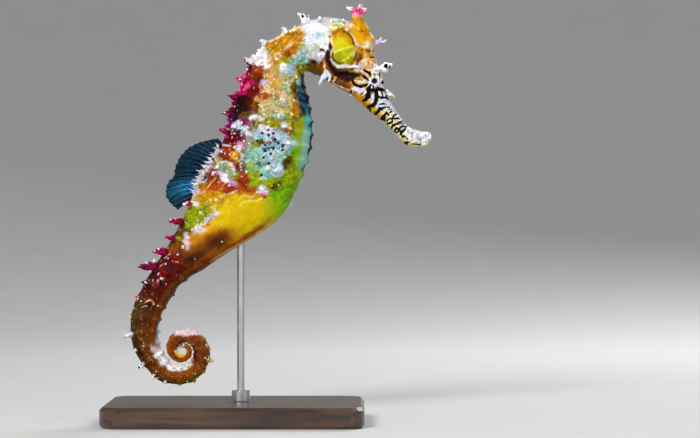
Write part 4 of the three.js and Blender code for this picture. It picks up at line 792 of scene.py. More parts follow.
class Nodes:
    """A node tree with short ways to add nodes, whose inputs are values or the sockets that feed them."""

    def __init__(self, tree):
        self.tree = tree

    def feed(self, inputs, values):
        for key, value in values.items():
            if isinstance(value, bpy.types.NodeSocket):
                self.tree.links.new(value, inputs[key])
            else:
                inputs[key].default_value = value

    def add(self, kind, inputs=None, **settings):
        """Adds a node and gives its outputs."""
        made = self.tree.nodes.new(kind)
        for name, value in settings.items():
            setattr(made, name, value)
        self.feed(made.inputs, inputs or {})
        return made.outputs

    def math(self, operation, *values, clamp=False):
        return self.add("ShaderNodeMath", dict(enumerate(values)), operation=operation, use_clamp=clamp)[0]

    def plus(self, first, second):
        return self.math("ADD", first, second)

    def minus(self, first, second):
        return self.math("SUBTRACT", first, second)

    def times(self, first, second):
        return self.math("MULTIPLY", first, second)

    def vector(self, operation, *values):
        keys = (0, "Scale" if operation == "SCALE" else 1)
        return self.add("ShaderNodeVectorMath", dict(zip(keys, values)), operation=operation)[0]

    def mix(self, share, first, second, blend="MIX"):
        inputs = {0: share, 6: first, 7: second}
        return self.add("ShaderNodeMix", inputs, data_type="RGBA", blend_type=blend)[2]

    def spread(self, value, low, high, to_low=0.0, to_high=1.0):
        """value from low to high, spread over another range and held inside it."""
        return self.add("ShaderNodeMapRange", {0: value, 1: low, 2: high, 3: to_low, 4: to_high})[0]

    def noise(self, place, scale, detail, **more):
        return self.add("ShaderNodeTexNoise", {"Vector": place, "Scale": scale, "Detail": detail, **more})[0]

    def cells(self, place, scale, **more):
        return self.add("ShaderNodeTexVoronoi", {"Vector": place, "Scale": scale, **more})

    def drawn_out(self, place, scale):
        return self.add("ShaderNodeMapping", {"Vector": place, "Scale": scale})[0]

    def split(self, colour_there):
        return self.add("ShaderNodeSeparateColor", {0: colour_there})

    def attribute(self, name):
        return self.add("ShaderNodeAttribute", attribute_name=name)


def new_group(name, kind, sockets_in, sockets_out):
    """A node group with named sockets: its nodes, and the sockets inside it that give and take."""
    group = bpy.data.node_groups.new(name, kind)
    for direction, sockets in (("INPUT", sockets_in), ("OUTPUT", sockets_out)):
        for socket_name, socket_kind in sockets.items():
            group.interface.new_socket(socket_name, in_out=direction, socket_type="NodeSocket" + socket_kind)
    return Nodes(group), group.nodes.new("NodeGroupInput").outputs, group.nodes.new("NodeGroupOutput").inputs


def skin_grain_group():
    """Grain of living skin: fine lumps of pigment, and a height of round granules and wrinkles."""
    tree, given, out = new_group("skin_grain", "ShaderNodeTree", {
        "Place": "Vector", "Pigment": "Color", "Granules per metre": "Float", "Mottling": "Float"},
        {"Colour": "Color", "Height": "Float", "Wear": "Float"})
    place, pigment, scale, mottling = (given[i] for i in range(4))
    broad = tree.noise(place, tree.times(scale, 0.28), 4.0)
    close = tree.noise(place, scale, 3.0, Roughness=0.6)
    granule = tree.spread(tree.cells(place, scale, Randomness=0.9)["Distance"], 0.1, 0.62, 1.0, 0.0)
    chips = tree.split(tree.cells(place, tree.times(scale, 0.45))["Color"])
    shade = tree.spread(chips[0], 0.0, 1.0, 0.45, 1.45)
    shade = tree.add("ShaderNodeCombineColor", {0: shade, 1: shade, 2: shade})[0]
    chipped_there = tree.mix(mottling, pigment, shade, "MULTIPLY")
    darker = tree.times(mottling, tree.spread(broad, 0.34, 0.52, 1.0, 0.0))
    deep = tree.mix(1.0, chipped_there, pigment, "MULTIPLY")
    lighter = tree.times(mottling, tree.spread(close, 0.52, 0.72))
    lit = tree.mix(tree.times(lighter, 0.6), tree.mix(darker, chipped_there, deep), pigment, "SCREEN")
    # Painted shade: darker towards the deep tone in the gaps between granules, where the bump sinks.
    rim = tree.times(tree.times(tree.minus(1.0, granule), 0.34), mottling)
    height = tree.plus(tree.times(granule, 0.6), tree.times(close, 0.7))
    tree.feed(out, {"Colour": tree.mix(rim, lit, deep), "Height": height, "Wear": broad})
    return tree.tree


class Finish(Nodes):
    """The tree of a new material, from the object's own coordinates to a Principled shader."""

    def __init__(self, name):
        self.material = bpy.data.materials.new(name)
        self.material.use_nodes = True
        super().__init__(self.material.node_tree)
        self.tree.nodes.clear()
        self.shader = self.tree.nodes.new("ShaderNodeBsdfPrincipled")
        self.add("ShaderNodeOutputMaterial", {0: self.shader.outputs[0]})
        self.place = self.add("ShaderNodeTexCoord")["Object"]

    def end(self, values, *bump):
        """Feeds the shader, with a bump from (height, strength, distance in m), and gives the material."""
        if bump:
            inputs = dict(zip(("Height", "Strength", "Distance"), bump))
            values["Normal"] = self.add("ShaderNodeBump", inputs)[0]
        self.feed(self.shader.inputs, values)
        return self.material


def opaque(name):
    return (*colour(name), 1.0)


skin_grain = skin_grain_group()


def skin_material():
    """Moist skin that reads its pigment, ink and frost from the piece, and its tips' tint."""
    tree = Finish("seahorse_skin")
    place, marks_there = tree.place, tree.attribute("marks")
    (ink, frost, specks), grainy = tree.split(marks_there["Color"]), marks_there["Alpha"]
    ragged = tree.noise(place, 5200.0, 2.0)
    crumbs = tree.noise(place, 2300.0, 5.0, Roughness=0.62)
    tip = tree.spread(tree.plus(tree.attribute("tip")["Fac"], tree.times(ragged, 0.3)), 0.62, 0.86)
    tipped = tree.mix(tip, tree.attribute("pigment")["Color"], tree.attribute("tip_tint")["Color"])
    flakes = tree.cells(place, 1700.0)
    picked = tree.math("LESS_THAN", tree.split(flakes["Color"])[0], frost)
    flake_edge = tree.plus(flakes["Distance"], tree.times(tree.minus(crumbs, 0.5), 1.6))
    flake = tree.times(tree.spread(flake_edge, 0.30, 0.46, 1.0, 0.0), picked)
    frosted = tree.mix(tree.times(flake, 0.75), tipped, (0.90, 0.88, 0.90, 1.0))
    grain = tree.add("ShaderNodeGroup", {
        "Place": place, "Pigment": frosted, "Granules per metre": 3600.0,
        "Mottling": tree.times(grainy, 0.6)}, node_tree=skin_grain)
    cells = tree.cells(place, 1050.0)
    chosen = tree.math("LESS_THAN", tree.split(cells["Color"])[0], specks)
    speck = tree.times(tree.spread(cells["Distance"], 0.10, 0.17, 1.0, 0.0), chosen)
    specked = tree.mix(tree.times(speck, 0.8), grain["Colour"], opaque("slate"))
    ink_edge = tree.plus(ink, tree.times(tree.minus(ragged, 0.5), 0.35))
    return tree.end({
        "Base Color": tree.mix(tree.spread(ink_edge, 0.38, 0.62), specked, opaque("ink")),
        "Roughness": tree.spread(grain["Wear"], 0.3, 0.7, 0.40, 0.60), "Specular IOR Level": 0.07,
        "Subsurface Weight": 0.06, "Subsurface Radius": (1.0, 0.55, 0.35), "Subsurface Scale": 0.0005,
        "Coat Weight": 0.03, "Coat Roughness": 0.20}, tree.times(grain["Height"], grainy), 0.8, 0.00012)


living_skin = skin_material()
skin.data.materials.append(living_skin)
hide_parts(*FLESH)
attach(skin, "root")


# ---- Spines, beads and granules -----------------------------------------------------------------
# Each ring bears thorns where the ridges cross its rim, the longest beaded and tinted magenta on
# the back and the tail. Rows of small beads stud the rims. All grow from the skin and share it.
PATCH = 0.003  # across a growth's place on the skin's unwrap


GEOMETRY = {"Geometry": "Geometry"}


def realized(tree, mesh, material):
    """Realized, smooth, painted mesh."""
    real = tree.add("GeometryNodeRealizeInstances", {0: mesh})[0]
    smooth_mesh = tree.add("GeometryNodeSetShadeSmooth", {0: real})[0]
    return tree.add("GeometryNodeSetMaterial", {"Geometry": smooth_mesh, "Material": material})[0]


def stored(tree, name, kind="FLOAT"):
    return tree.add("GeometryNodeInputNamedAttribute", {"Name": name}, data_type=kind)[0]


def store(tree, mesh, name, value, kind="FLOAT2", domain="CORNER"):
    return tree.add("GeometryNodeStoreNamedAttribute", {"Geometry": mesh, "Name": name, "Value": value},
                    data_type=kind, domain=domain)[0]


def growth_tree():
    """Sets a thorn or bead on each point, shaped by the point's own aim, length, girth and bend."""
    tree, given, out = new_group("growths", "GeometryNodeTree", {
        **GEOMETRY, "Sides": "Int", "Segments": "Int", "Fullness": "Float", "Taper": "Float",
        "Lumps": "Float", "Lump size": "Float", "Material": "Material"}, GEOMETRY)
    cone = tree.add("GeometryNodeMeshCone", {
        "Vertices": given["Sides"], "Side Segments": given["Segments"], "Fill Segments": 1,
        "Radius Top": 0.0, "Radius Bottom": 1.0, "Depth": 1.0})
    position = tree.add("GeometryNodeInputPosition")[0]
    height = tree.add("ShaderNodeSeparateXYZ", {0: position})[2]
    marked = store(tree, store(tree, cone["Mesh"], "OFBake", cone["UV Map"]), "tip", height, "FLOAT", "POINT")
    full = tree.minus(1.0, tree.math("POWER", height, given["Fullness"]))
    profile = tree.math("POWER", tree.math("MAXIMUM", full, 0.0), given["Taper"])
    widen = tree.math("DIVIDE", profile, tree.math("MAXIMUM", tree.minus(1.0, height), 0.02))
    shape = tree.add("ShaderNodeCombineXYZ", {0: widen, 1: widen, 2: 1.0})[0]
    shaped = tree.add("GeometryNodeSetPosition", {
        "Geometry": marked, "Position": tree.vector("MULTIPLY", position, shape)})[0]
    turned = tree.add("FunctionNodeAlignRotationToVector", {"Vector": stored(tree, "aim", "FLOAT_VECTOR")},
                      axis="Z")[0]
    girth = stored(tree, "girth")
    size = tree.add("ShaderNodeCombineXYZ", {0: girth, 1: girth, 2: stored(tree, "length")})[0]
    placed = tree.add("GeometryNodeInstanceOnPoints", {
        "Points": given["Geometry"], "Instance": shaped, "Rotation": turned, "Scale": size})[0]
    real = tree.add("GeometryNodeRealizeInstances", {0: placed})[0]
    droop = tree.math("POWER", stored(tree, "tip"), 2.0)
    bent = tree.vector("SCALE", stored(tree, "bend", "FLOAT_VECTOR"), droop)
    noisy = tree.add("ShaderNodeTexNoise", {
        "Vector": position, "Scale": given["Lump size"], "Detail": 1.0})["Color"]
    lumpy = tree.vector("SCALE", tree.vector("SUBTRACT", noisy, (0.5, 0.5, 0.5)),
                        tree.times(girth, given["Lumps"]))
    grown = tree.add("GeometryNodeSetPosition", {
        "Geometry": real, "Offset": tree.vector("ADD", bent, lumpy)})[0]
    patch = tree.vector("SUBTRACT", stored(tree, "OFBake", "FLOAT_VECTOR"), (0.5, 0.5, 0.0))
    patch = tree.vector("SCALE", patch, PATCH)
    on_skin = tree.vector("ADD", stored(tree, "root_uv", "FLOAT_VECTOR"), patch)
    tree.feed(out, {0: realized(tree, store(tree, grown, "OFBake", on_skin), given["Material"])})
    return tree.tree


def run_tree(piece, tree, **inputs):
    """Runs a geometry tree on a piece and keeps the result as its plain mesh."""
    modifier = piece.modifiers.new(tree.name, "NODES")
    modifier.node_group = tree
    for item in tree.interface.items_tree:
        key = item.name.lower().replace(" ", "_")
        if item.in_out == "INPUT" and key in inputs:
            modifier[item.identifier] = inputs[key]
    made = piece.evaluated_get(bpy.context.evaluated_depsgraph_get())
    mesh = bpy.data.meshes.new_from_object(made, preserve_all_data_layers=True,
                                           depsgraph=bpy.context.evaluated_depsgraph_get())
    piece.modifiers.remove(modifier)
    piece.data = mesh
    mesh.name = piece.name


growths = growth_tree()


class Roots:
    """Places on the skin from which growths rise, each with its own size, lean and colours."""

    def __init__(self):
        self.rows = []

    def add(self, place, aim, length, girth, tint, body, at, bend=(0, 0, 0)):
        """Sizes in mm; at is (length along the animal, angle) for the colour and the unwrap."""
        self.rows.append((place, aim, length, girth, tint, body, at, bend))

    def grow(self, name, **inputs):
        """Makes the piece from all the roots."""
        place = np.array([row[0] for row in self.rows], float)
        aim = np.array([row[1] for row in self.rows], float)
        aim /= np.linalg.norm(aim, axis=1)[:, None]
        at = np.array([row[6] for row in self.rows], float)
        across = (1 - np.cos(at[:, 1])) / 2
        pigment, marks = paint(place, ring_at(at[:, 0]), across)
        for i, row in enumerate(self.rows):
            if row[5]:
                pigment[i] = colour(row[5])
        tints = np.array([colour(row[4]) if row[4] else shade * 1.3
                          for row, shade in zip(self.rows, pigment)])
        unwrap = np.stack([(at[:, 1] / (2 * math.pi)) % 1, at[:, 0] / WHOLE_LENGTH, 0 * at[:, 0]], axis=1)
        unwrap = np.clip(unwrap, PATCH, 1 - PATCH)
        piece = new_piece(name, place, [])
        length, girth, bend = (np.array([row[k] for row in self.rows], float) * MM for k in (2, 3, 7))
        keep(piece, aim=aim, bend=bend, root_uv=unwrap, length=length, girth=girth, pigment=pigment,
             tip_tint=tints, marks=marks * (0, 0.7, 0, 1))
        run_tree(piece, growths, material=living_skin, **inputs)
        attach(piece, "root")
        return piece


THORN_LOOK = {"sides": 8, "segments": 6, "fullness": 1.6, "taper": 0.8, "lumps": 1.1, "lump_size": 1200.0}
FINGER_LOOK = {"sides": 8, "segments": 6, "fullness": 4.5, "taper": 0.5, "lumps": 0.6, "lump_size": 1400.0}
BEAD_LOOK = {"sides": 7, "segments": 3, "fullness": 2.2, "taper": 0.5, "lumps": 0.45, "lump_size": 2600.0}
HAIR_LOOK = {"sides": 5, "segments": 8, "fullness": 1.0, "taper": 0.8, "lumps": 0.9, "lump_size": 1300.0}

TRUNK_THORNS = {1: 1.5, 2: 1.5, 3: 1.5, 4: 1.3, 5: 1.2, 6: 0.9, 7: 1.5, 8: 1.2}  # on the upper ridge, by ring
TAIL_THORNS = {1: 1.6, 2: 3.4, 3: 2.2, 4: 3.2, 5: 4.7, 6: 1.3, 7: 1.5, 9: 2.4, 11: 2.0, 15: 1.2, 17: 1.5}
THORN = {"trunk_upper": 1.1, "under_fin": 0.8, "side": 1.1, "even_side": 0.75, "lower": 0.95,
         "tail_upper": 1.0, "tail_fade": 0.025, "least": 0.6, "tail_lower": 0.5, "foot": 0.26,
         "growth": 0.19, "lean": 0.25, "side_lean": 0.1, "last_ring": 30, "rings_under_pouch": 6,
         "slight": 1.1, "branched": 1.25, "fin_from": 8.2, "fin_to": 10.8, "crimson_share": 0.3}
# How stout the upper ridge's longer thorns are, against the others.
STOUT = {"trunk": 1.35, "tail": 1.3, "thinning": 0.09, "tail_end": 0.75, "end_ring": 19}
# Tints of the upper ridge's thorns: (last ring, body or the skin's own, tip).
THORN_TINTS = [
    (2, "white", "white"), (3, "white", "lilac"), (4, "magenta", "white"), (7, "raspberry", "magenta"),
    (9, "wine", "white"), (11, "oat", "white"), (12, "magenta", "white"), (15, "raspberry", "magenta"),
    (16, "raspberry", "purple"), (17, "wine", "raspberry"), (19, "olive", "cream"), (24, "pale", "white"),
    (31, None, "gold"),
]

chance = np.random.RandomState(11)


def skin_place(length, angle):
    """One place on the finished skin: the point and the outward direction, in mm."""
    point, outward, *_ = skin_point(np.array([length]), np.array([angle]))
    return point[0], outward[0]


def upper_thorn(ring):
    if THORN["fin_from"] <= ring <= THORN["fin_to"]:
        return THORN["under_fin"]
    if ring < TRUNK_RINGS:
        return TRUNK_THORNS.get(ring, THORN["trunk_upper"])
    number = ring - TRUNK_RINGS
    return TAIL_THORNS.get(number, max(THORN["least"], THORN["tail_upper"] - THORN["tail_fade"] * number))


def thorn_tint(ring):
    return next(tints for last, *tints in THORN_TINTS if ring <= last)


def ring_thorns(thorns, beads):
    """The thorns where the ridges cross the rings' rims, with beads on the longer ones."""
    for ring in range(1, THORN["last_ring"] + 1):
        length = float(length_at(ring))
        tailward = centre_at(length + 0.3) - centre_at(length)
        tailward /= np.linalg.norm(tailward)
        on_trunk = ring < TRUNK_RINGS
        rows = [("upper", upper_thorn(ring), THORN["lean"])]
        if on_trunk:
            rows.append(("side", THORN["side"] if ring % 2 else THORN["even_side"], THORN["side_lean"]))
        if on_trunk or ring > TRUNK_RINGS + THORN["rings_under_pouch"]:
            rows.append(("lower", THORN["lower"] if on_trunk else THORN["tail_lower"], THORN["side_lean"]))
        for ridge, tall, lean in rows:
            degrees = float(ridge_angle(ridge, np.array([length]))[0])
            for side in (1, -1):
                point, _ = skin_place(length, side * degrees)
                aim = up_at(length) * math.cos(degrees) * 1.25
                aim[1] = side * math.sin(degrees) * 0.8
                aim = aim / np.linalg.norm(aim) + lean * tailward
                body, tip = thorn_tint(ring) if ridge == "upper" else (None, None)
                if ridge == "upper" and not on_trunk:
                    reddened = chance.rand() < THORN["crimson_share"]
                    body = "crimson" if reddened and ring < STOUT["end_ring"] else body
                girth = THORN["foot"] + THORN["growth"] * tall
                if ridge == "upper" and tall > THORN["slight"]:
                    on_tail_end = ring >= STOUT["end_ring"]
                    girth *= (STOUT["trunk"] if on_trunk else STOUT["tail_end"] if on_tail_end
                              else STOUT["tail"] - STOUT["thinning"] * tall)
                foot = point - aim * 0.35 * girth
                height = tall + 0.25 * girth
                at = (length, side * degrees)
                thorns.add(foot, aim, height, girth, tip, body, at, tailward * 0.12 * tall * chance.randn())
                if tall > THORN["branched"]:
                    branch_thorn(thorns, foot, aim, height, girth, tip, body, at)
                    bead_thorn(beads, foot, aim, height, girth, body, at)


def branch_thorn(thorns, foot, aim, height, girth, tip, body, at):
    """Short knobs that fork off a long thorn and stand round its foot."""
    for share in (0.05, 0.15, 0.3, 0.45, 0.6, 0.7):
        turned = aim / np.linalg.norm(aim) + 0.8 * chance.randn(3)
        thorns.add(foot + aim * height * share, turned,
                   height * (0.5 - 0.4 * share), girth * (0.8 - 0.6 * share),
                   "white" if chance.rand() < 0.4 else tip, body, at)


def bead_thorn(beads, foot, aim, height, girth, body, at):
    """Pale and dark beads on the flanks and the end of a long thorn."""
    aim = aim / np.linalg.norm(aim)
    sideways = np.cross(aim, (0, 1, 0))
    for share in (0.1, 0.2, 0.35, 0.5, 0.65, 0.8):
        turn = chance.rand() * 2 * math.pi
        out = sideways * math.cos(turn) + np.cross(aim, sideways) * math.sin(turn)
        place = foot + aim * height * share + out * girth * (1 - 0.8 * share) * 0.75
        tints = ("white", "slate", "ice")
        if body not in ("white", "pale"):
            tints = ("white", "pink", "raspberry", "purple")
        tint = tints[chance.randint(len(tints))] if body else "cream"
        beads.add(place, out + 0.7 * aim, 0.25 + 0.25 * chance.rand(), 0.15 + 0.15 * chance.rand(),
                  tint, tint, at)


# Spines of the head: (root, tip, girth, body, tint), in mm; those off the middle line come in pairs.
HEAD_THORNS = [
    ((22.1, 3, 84), (20, 3.8, 80.9), .72, "pale", "white"),
    ((22.4, 3.1, 83.6), (21.1, 3.9, 81.7), .6, "pale", "ice"),
    ((22.8, 3.1, 83.1), (22.5, 3.8, 81.5), .45, "pale", "white"),
    ((24.2, 3.1, 82.6), (23.6, 3.8, 81.4), .36, "tan", "cream"),
    ((28.7, 0, 79.4), (27.4, 0, 78.2), .55, "butter", "cream"),
    ((16.9, 0, 94.6), (16.2, 0, 98.3), 1.25, "white", "white"),
    ((17.6, .7, 95.6), (17.7, 1, 97.4), .6, "lilac", "white"),
    ((23.2, 3, 96), (23, 3.3, 96.8), .45, "white", "white"),
    ((20.4, 2.4, 96.2), (20.3, 2.6, 97.3), .6, "ice", "white"),
    ((26, 2.6, 95.8), (26, 3, 96.8), .42, "mint", "white"),
    ((14.4, 1.6, 94.2), (14.3, 1.8, 95.3), .4, "cream", "white"),
    ((30.8, 2.9, 89.2), (31.2, 3.8, 90), .42, "amber", "cream"),
    ((36.3, 0, 79.6), (38, 0, 78.6), .5, "white", "white"),
]
# Blunt fingers and knobs: the same, but round at the end.
HEAD_FINGERS = [
    ((34.3, 2.2, 84.7), (36.3, 2.9, 86.2), .36, "white", "white"),
    ((35.8, 2.8, 86.1), (36.9, 3.1, 85.95), .22, "white", "white"),
    ((36.7, 2.9, 85.8), (37.9, 3.1, 85.85), .26, "white", "white"),
    ((35.1, 2.5, 84.8), (36.7, 3, 84.35), .42, "white", "cream"),
    ((36.1, 2.5, 85.4), (36.35, 3.35, 85.6), .46, "ink", "ink"),
    ((37.2, 2.9, 85.7), (37.1, 3.2, 85.2), .16, "ink", "ink"),
    ((16.4, 0, 97), (15, .1, 98.5), .48, "white", "white"),
    ((16.3, .4, 97.3), (16.1, 1, 97.7), .34, "ink", "ink"),
    ((17, .3, 96.6), (17.8, .3, 97.9), .4, "white", "lilac"),
    ((17.3, .5, 97.2), (17.4, .9, 97.3), .24, "purple", "purple"),
    ((33, 0, 90.9), (35, 0, 91.5), .62, "lilac", "lilac"),
    ((34.4, 0, 91.4), (35.3, .1, 92.4), .3, "lilac", "white"),
    ((34.7, 0, 91.4), (36.1, 0, 91.4), .26, "lilac", "white"),
    ((36, 0, 91.4), (36.3, 0, 92), .18, "white", "white"),
    ((37.6, 0, 78.7), (38.6, 0, 78), .24, "butter", "cream"),
    ((36.6, .6, 78.9), (37.6, .9, 78.4), .34, "white", "white"),
    ((22.2, 3.9, 92.4), (22.3, 4.7, 92.8), .5, "cream", "white"),
    ((21.5, 4, 90.8), (21.6, 4.8, 91), .48, "white", "cream"),
    ((20.3, 3.9, 87.9), (20, 4.8, 88), .62, "lilac", "white"),
    ((19.4, 4, 89.6), (19.2, 4.6, 89.8), .4, "peach", "cream"),
    ((20.5, 3.8, 86.9), (20.4, 4.5, 86.7), .34, "pink", "peach"),
    ((29.2, 0, 98.3), (26.6, .1, 99.9), .5, "pink", "white"),
    ((27.6, 0, 99.3), (28.3, .4, 99.7), .34, "white", "white"),
    ((28.1, .5, 98.7), (28.1, .8, 98.9), .24, "wine", "wine"),
    ((29.5, .6, 98.4), (29.6, 1.5, 99.9), .42, "rose", "pink"),
    ((29.9, .5, 98.4), (30.7, 1, 100.4), .46, "rose", "pink"),
    ((30.3, 0, 98.3), (31.7, 0, 99.4), .44, "pink", "white"),
    ((30.6, .5, 98.3), (31.5, 1.1, 98.7), .36, "rose", "pink"),
    ((30.3, .8, 99.1), (30.4, 1.2, 99.3), .24, "purple", "purple"),
]
# Long threads on the ridges of the trunk and the tail: (ring, ridge, length, girth), in mm.
THREADS = [
    (20.2, "upper", 5.6, .13), (20.5, "side", 3.4, .1), (23.4, "upper", 3.6, .12), (18.2, "side", 2.8, .16),
    (25.6, "upper", 1.9, .22), (11.4, "upper", 2.2, .12), (10.5, "side", 2.6, .1), (9.8, "side", 2.2, .12),
]


def head_spines(spines, rows):
    for root, tip, girth, body, tint in rows:
        for side in ((1, -1) if abs(root[1]) > 0.2 else (1,)):
            turned = np.array([1, side, 1])
            root_at, tip_at = np.array(root) * turned, np.array(tip) * turned
            aim = tip_at - root_at
            spines.add(root_at - aim * 0.1, aim, np.linalg.norm(aim) * 1.1, girth, tint, body,
                       nearest_on_skin(root_at), chance.randn(3) * 0.05)


def nearest_on_skin(point):
    """The skin's length and angle nearest to a point in mm."""
    i = int(np.argmin(np.sum((skin_points - point) ** 2, axis=1)))
    return float(lengths[i]), float(angles[i])


def threads(hairs):
    for ring, ridge, tall, girth in THREADS:
        length = float(length_at(ring))
        degrees = float(ridge_angle(ridge, np.array([length]))[0])
        for side in (1, -1):
            point, outward = skin_place(length, side * degrees)
            aim = outward + np.array([-0.35, 0, 0.1]) + 0.15 * chance.randn(3)
            hairs.add(point - outward * 0.2, aim, tall * (0.8 + 0.3 * chance.rand()), girth, "white", "cream",
                      (length, side * degrees), (0, 0, 0.5 * chance.randn()))


# Beads are strewn on rims and ridges, in tints that change along the animal: (last ring, tints).
BEAD_COUNT = 800
BEAD_TINTS = [
    (-4, ("cream", "white")), (.5, ("white", "lilac", "pink")), (2.4, ("cream", "gold", "white")),
    (4.2, ("white", "cream", "peach")), (5.6, ("pink", "peach", "cream")), (8.2, ("white", "ice", "cream")),
    (11.2, ("cream", "white", "pink", "peach")), (15, ("amber", "gold", "leaf", "peach")),
    (18, ("crimson", "peach", "wine", "amber")), (22, ("tawny", "amber", "bronze")),
    (46, ("tan", "bronze", "amber", "tawny")),
]


def strewn_beads(beads):
    """Small beads over the body: most on the rings' rims, some on the plates between them."""
    for _ in range(BEAD_COUNT):
        ring = chance.rand() ** 0.85 * 36 - 4.2
        if chance.rand() < 0.66 and ring > 0:
            ring = round(ring) + 0.07 * chance.randn()
        length = float(FIRST_RING + ring * RING_PITCH if ring < 0 else length_at(ring))
        angle = chance.rand() * 2 * math.pi
        folded = from_back(angle)
        on_pouch = 8.8 < ring < 15.6 and folded > 1.35
        on_brow_or_throat = ring < 0 and (folded < 0.25 or folded > 1.9)
        on_belly = 0 < ring < 12 and folded > 2.2
        if on_pouch or on_brow_or_throat or on_belly:
            continue
        point, outward = skin_place(length, angle)
        rim, _ = gill_place(point[0], point[2])
        if rim < 1.15:
            continue
        row = row_at(length)
        scale = min(1.0, 0.25 + np.hypot(row[0] - row[2], row[1] - row[3]) / 12)
        size = (0.09 + 0.15 * chance.rand() ** 2.2) * scale
        tints = next(tints for last, tints in BEAD_TINTS if ring <= last)
        tint = tints[chance.randint(len(tints))]
        body = tint if chance.rand() < 0.35 else None
        beads.add(point - outward * size * 0.4, outward + 0.2 * chance.randn(3), size * (1.3 + chance.rand()),
                  size, tint, body, (length, angle))


# Larger pale lumps, like little stars of granules: (ring, share from back to belly, size, body, tint).
STARS = [
    (3.75, .29, .55, "pink", "lilac"), (2.3, .5, .45, "white", "white"), (6.9, .3, .35, "pink", "white"),
    (7.9, .2, .45, "pink", "white"), (8.3, .06, .55, "pink", "white"), (9, .06, .6, "white", "pink"),
    (9.5, .1, .6, "white", "white"), (10, .12, .6, "pink", "white"), (10.3, .26, .5, "peach", "white"),
    (9.7, .58, .35, "ice", "white"), (10.45, .7, .4, "crimson", "peach"), (10.6, .62, .4, "pink", "white"),
    (11.3, .12, .5, "white", "pink"), (11.5, .3, .4, "peach", "cream"), (11.9, .05, .5, "pink", "white"),
    (12.3, .22, .5, "peach", "cream"), (12.8, .33, .45, "cream", "white"), (13.2, .26, .45, "peach", "cream"),
    (13.7, .28, .5, "pink", "white"), (13.4, .05, .5, "raspberry", "pink"), (14.3, .34, .45, "pink", "white"),
    (15.2, .46, .3, "rust", "peach"), (16.2, .3, .35, "crimson", "pink"), (16.4, .46, .4, "pink", "white"),
    (17.2, .12, .4, "wine", "pink"), (4.5, .34, .3, "rose", "peach"), (4.2, .2, .3, "magenta", "pink"),
    (28.9, .06, .45, "white", "white"), (28.2, .08, .4, "pale", "white"), (27.5, .05, .4, "pale", "white"),
    (27, .1, .35, "cream", "white"), (26.2, .05, .35, "cream", "white"), (29.4, .12, .35, "cream", "white"),
    (30.6, .05, .4, "pale", "white"), (31.2, .03, .35, "lilac", "white"), (31.8, .06, .42, "pale", "white"),
    (32.4, .03, .36, "lilac", "white"), (33, .06, .32, "pale", "white"),
]
# Rows of small golden beads down the tail: (share from back to belly, body, tint).
TAIL_ROWS = [
    (.2, "bronze", "amber"), (.34, "tawny", "amber"), (.46, "amber", "peach"), (.6, "tawny", "amber"),
    (.74, "bronze", "amber"), (.93, "tan", "cream"),
]


def starry_lumps(beads):
    """Clusters of pointed granules round a middle one, at the named places on both flanks."""
    for ring, share, size, body, tint in STARS:
        length = float(length_at(ring))
        for side in (1, -1):
            middle = side * math.acos(1 - 2 * share)
            for k in range(5):
                reach = 0 if k == 0 else size * 0.8
                turn = k * 1.57 + chance.rand()
                here = length + reach * math.cos(turn)
                width = 9.0 if ring < 12 else 5.5
                angle = middle + reach * math.sin(turn) / width
                point, outward = skin_place(here, angle)
                wide = size * (0.62 if k == 0 else 0.34 + 0.14 * chance.rand())
                beads.add(point - outward * wide * 0.4, outward + 0.25 * chance.randn(3),
                          wide * 1.15, wide, tint, body, (here, angle))


def tail_rows(beads):
    for share, body, tint in TAIL_ROWS:
        for step in range(30):
            length = float(length_at(16.8 + 0.36 * step + 0.12 * chance.randn()))
            for side in (1, -1):
                angle = side * math.acos(1 - 2 * share) + 0.05 * chance.randn()
                point, outward = skin_place(length, angle)
                wide = 0.07 + 0.11 * chance.rand() ** 2
                beads.add(point - outward * wide * 0.5, outward, wide * 1.3, wide, tint, body,
                          (length, angle))


# The white tufts where the dorsal fin leaves the back.
TUFTS = {"from": 8.05, "to": 11.55, "count": 90, "spread": 0.30, "length": 1.8, "girth": 0.27}


def fin_tufts(hairs):
    for side in (1, -1):
        for k in range(TUFTS["count"]):
            ring = TUFTS["from"] + (TUFTS["to"] - TUFTS["from"]) * (k + chance.rand()) / TUFTS["count"]
            length = float(length_at(ring))
            angle = side * (0.08 + TUFTS["spread"] * chance.rand() ** 1.5)
            point, outward = skin_place(length, angle)
            aim = outward + np.array([-0.25, side * 0.35, 0.25]) + 0.22 * chance.randn(3)
            tall = TUFTS["length"] * (0.5 + 0.8 * chance.rand())
            hairs.add(point - outward * 0.15, aim, tall, TUFTS["girth"] * (0.7 + 0.7 * chance.rand()),
                      "white", ("white", "white", "lilac")[chance.randint(3)], (length, angle))


thorn_roots, finger_roots, bead_roots, hair_roots = Roots(), Roots(), Roots(), Roots()
ring_thorns(thorn_roots, bead_roots)
head_spines(thorn_roots, HEAD_THORNS)
head_spines(finger_roots, HEAD_FINGERS)
strewn_beads(bead_roots)
starry_lumps(bead_roots)
tail_rows(bead_roots)
threads(hair_roots)
fin_tufts(hair_roots)
thorn_roots.grow("thorns", **THORN_LOOK)
finger_roots.grow("fingers", **FINGER_LOOK)
bead_roots.grow("beads", **BEAD_LOOK)
hair_roots.grow("filaments", **HAIR_LOOK)


# A thin fold of skin that joins the teeth along the back, above the dorsal fin, on both upper ridges.
FRILL = {"from": 0.2, "to": 7.45, "columns": 150, "rows": 6, "foot": 0.55, "edge": 0.14, "base": 0.75,
         "tooth": 0.85, "tooth_width": 0.22, "low": 0.2, "full_height": (1.9, 2.6)}
# The cream, peach and white at the front end, to ring 2.9, are a painted highlight on the neck's ridge.
FRILL_TINTS = [
    (1.5, "cream"), (1.9, "peach"), (2.9, "white"), (3.6, "wine"), (4.6, "magenta"), (5.1, "purple"),
    (6.2, "wine"), (7, "purple"), (8, "magenta"),
]


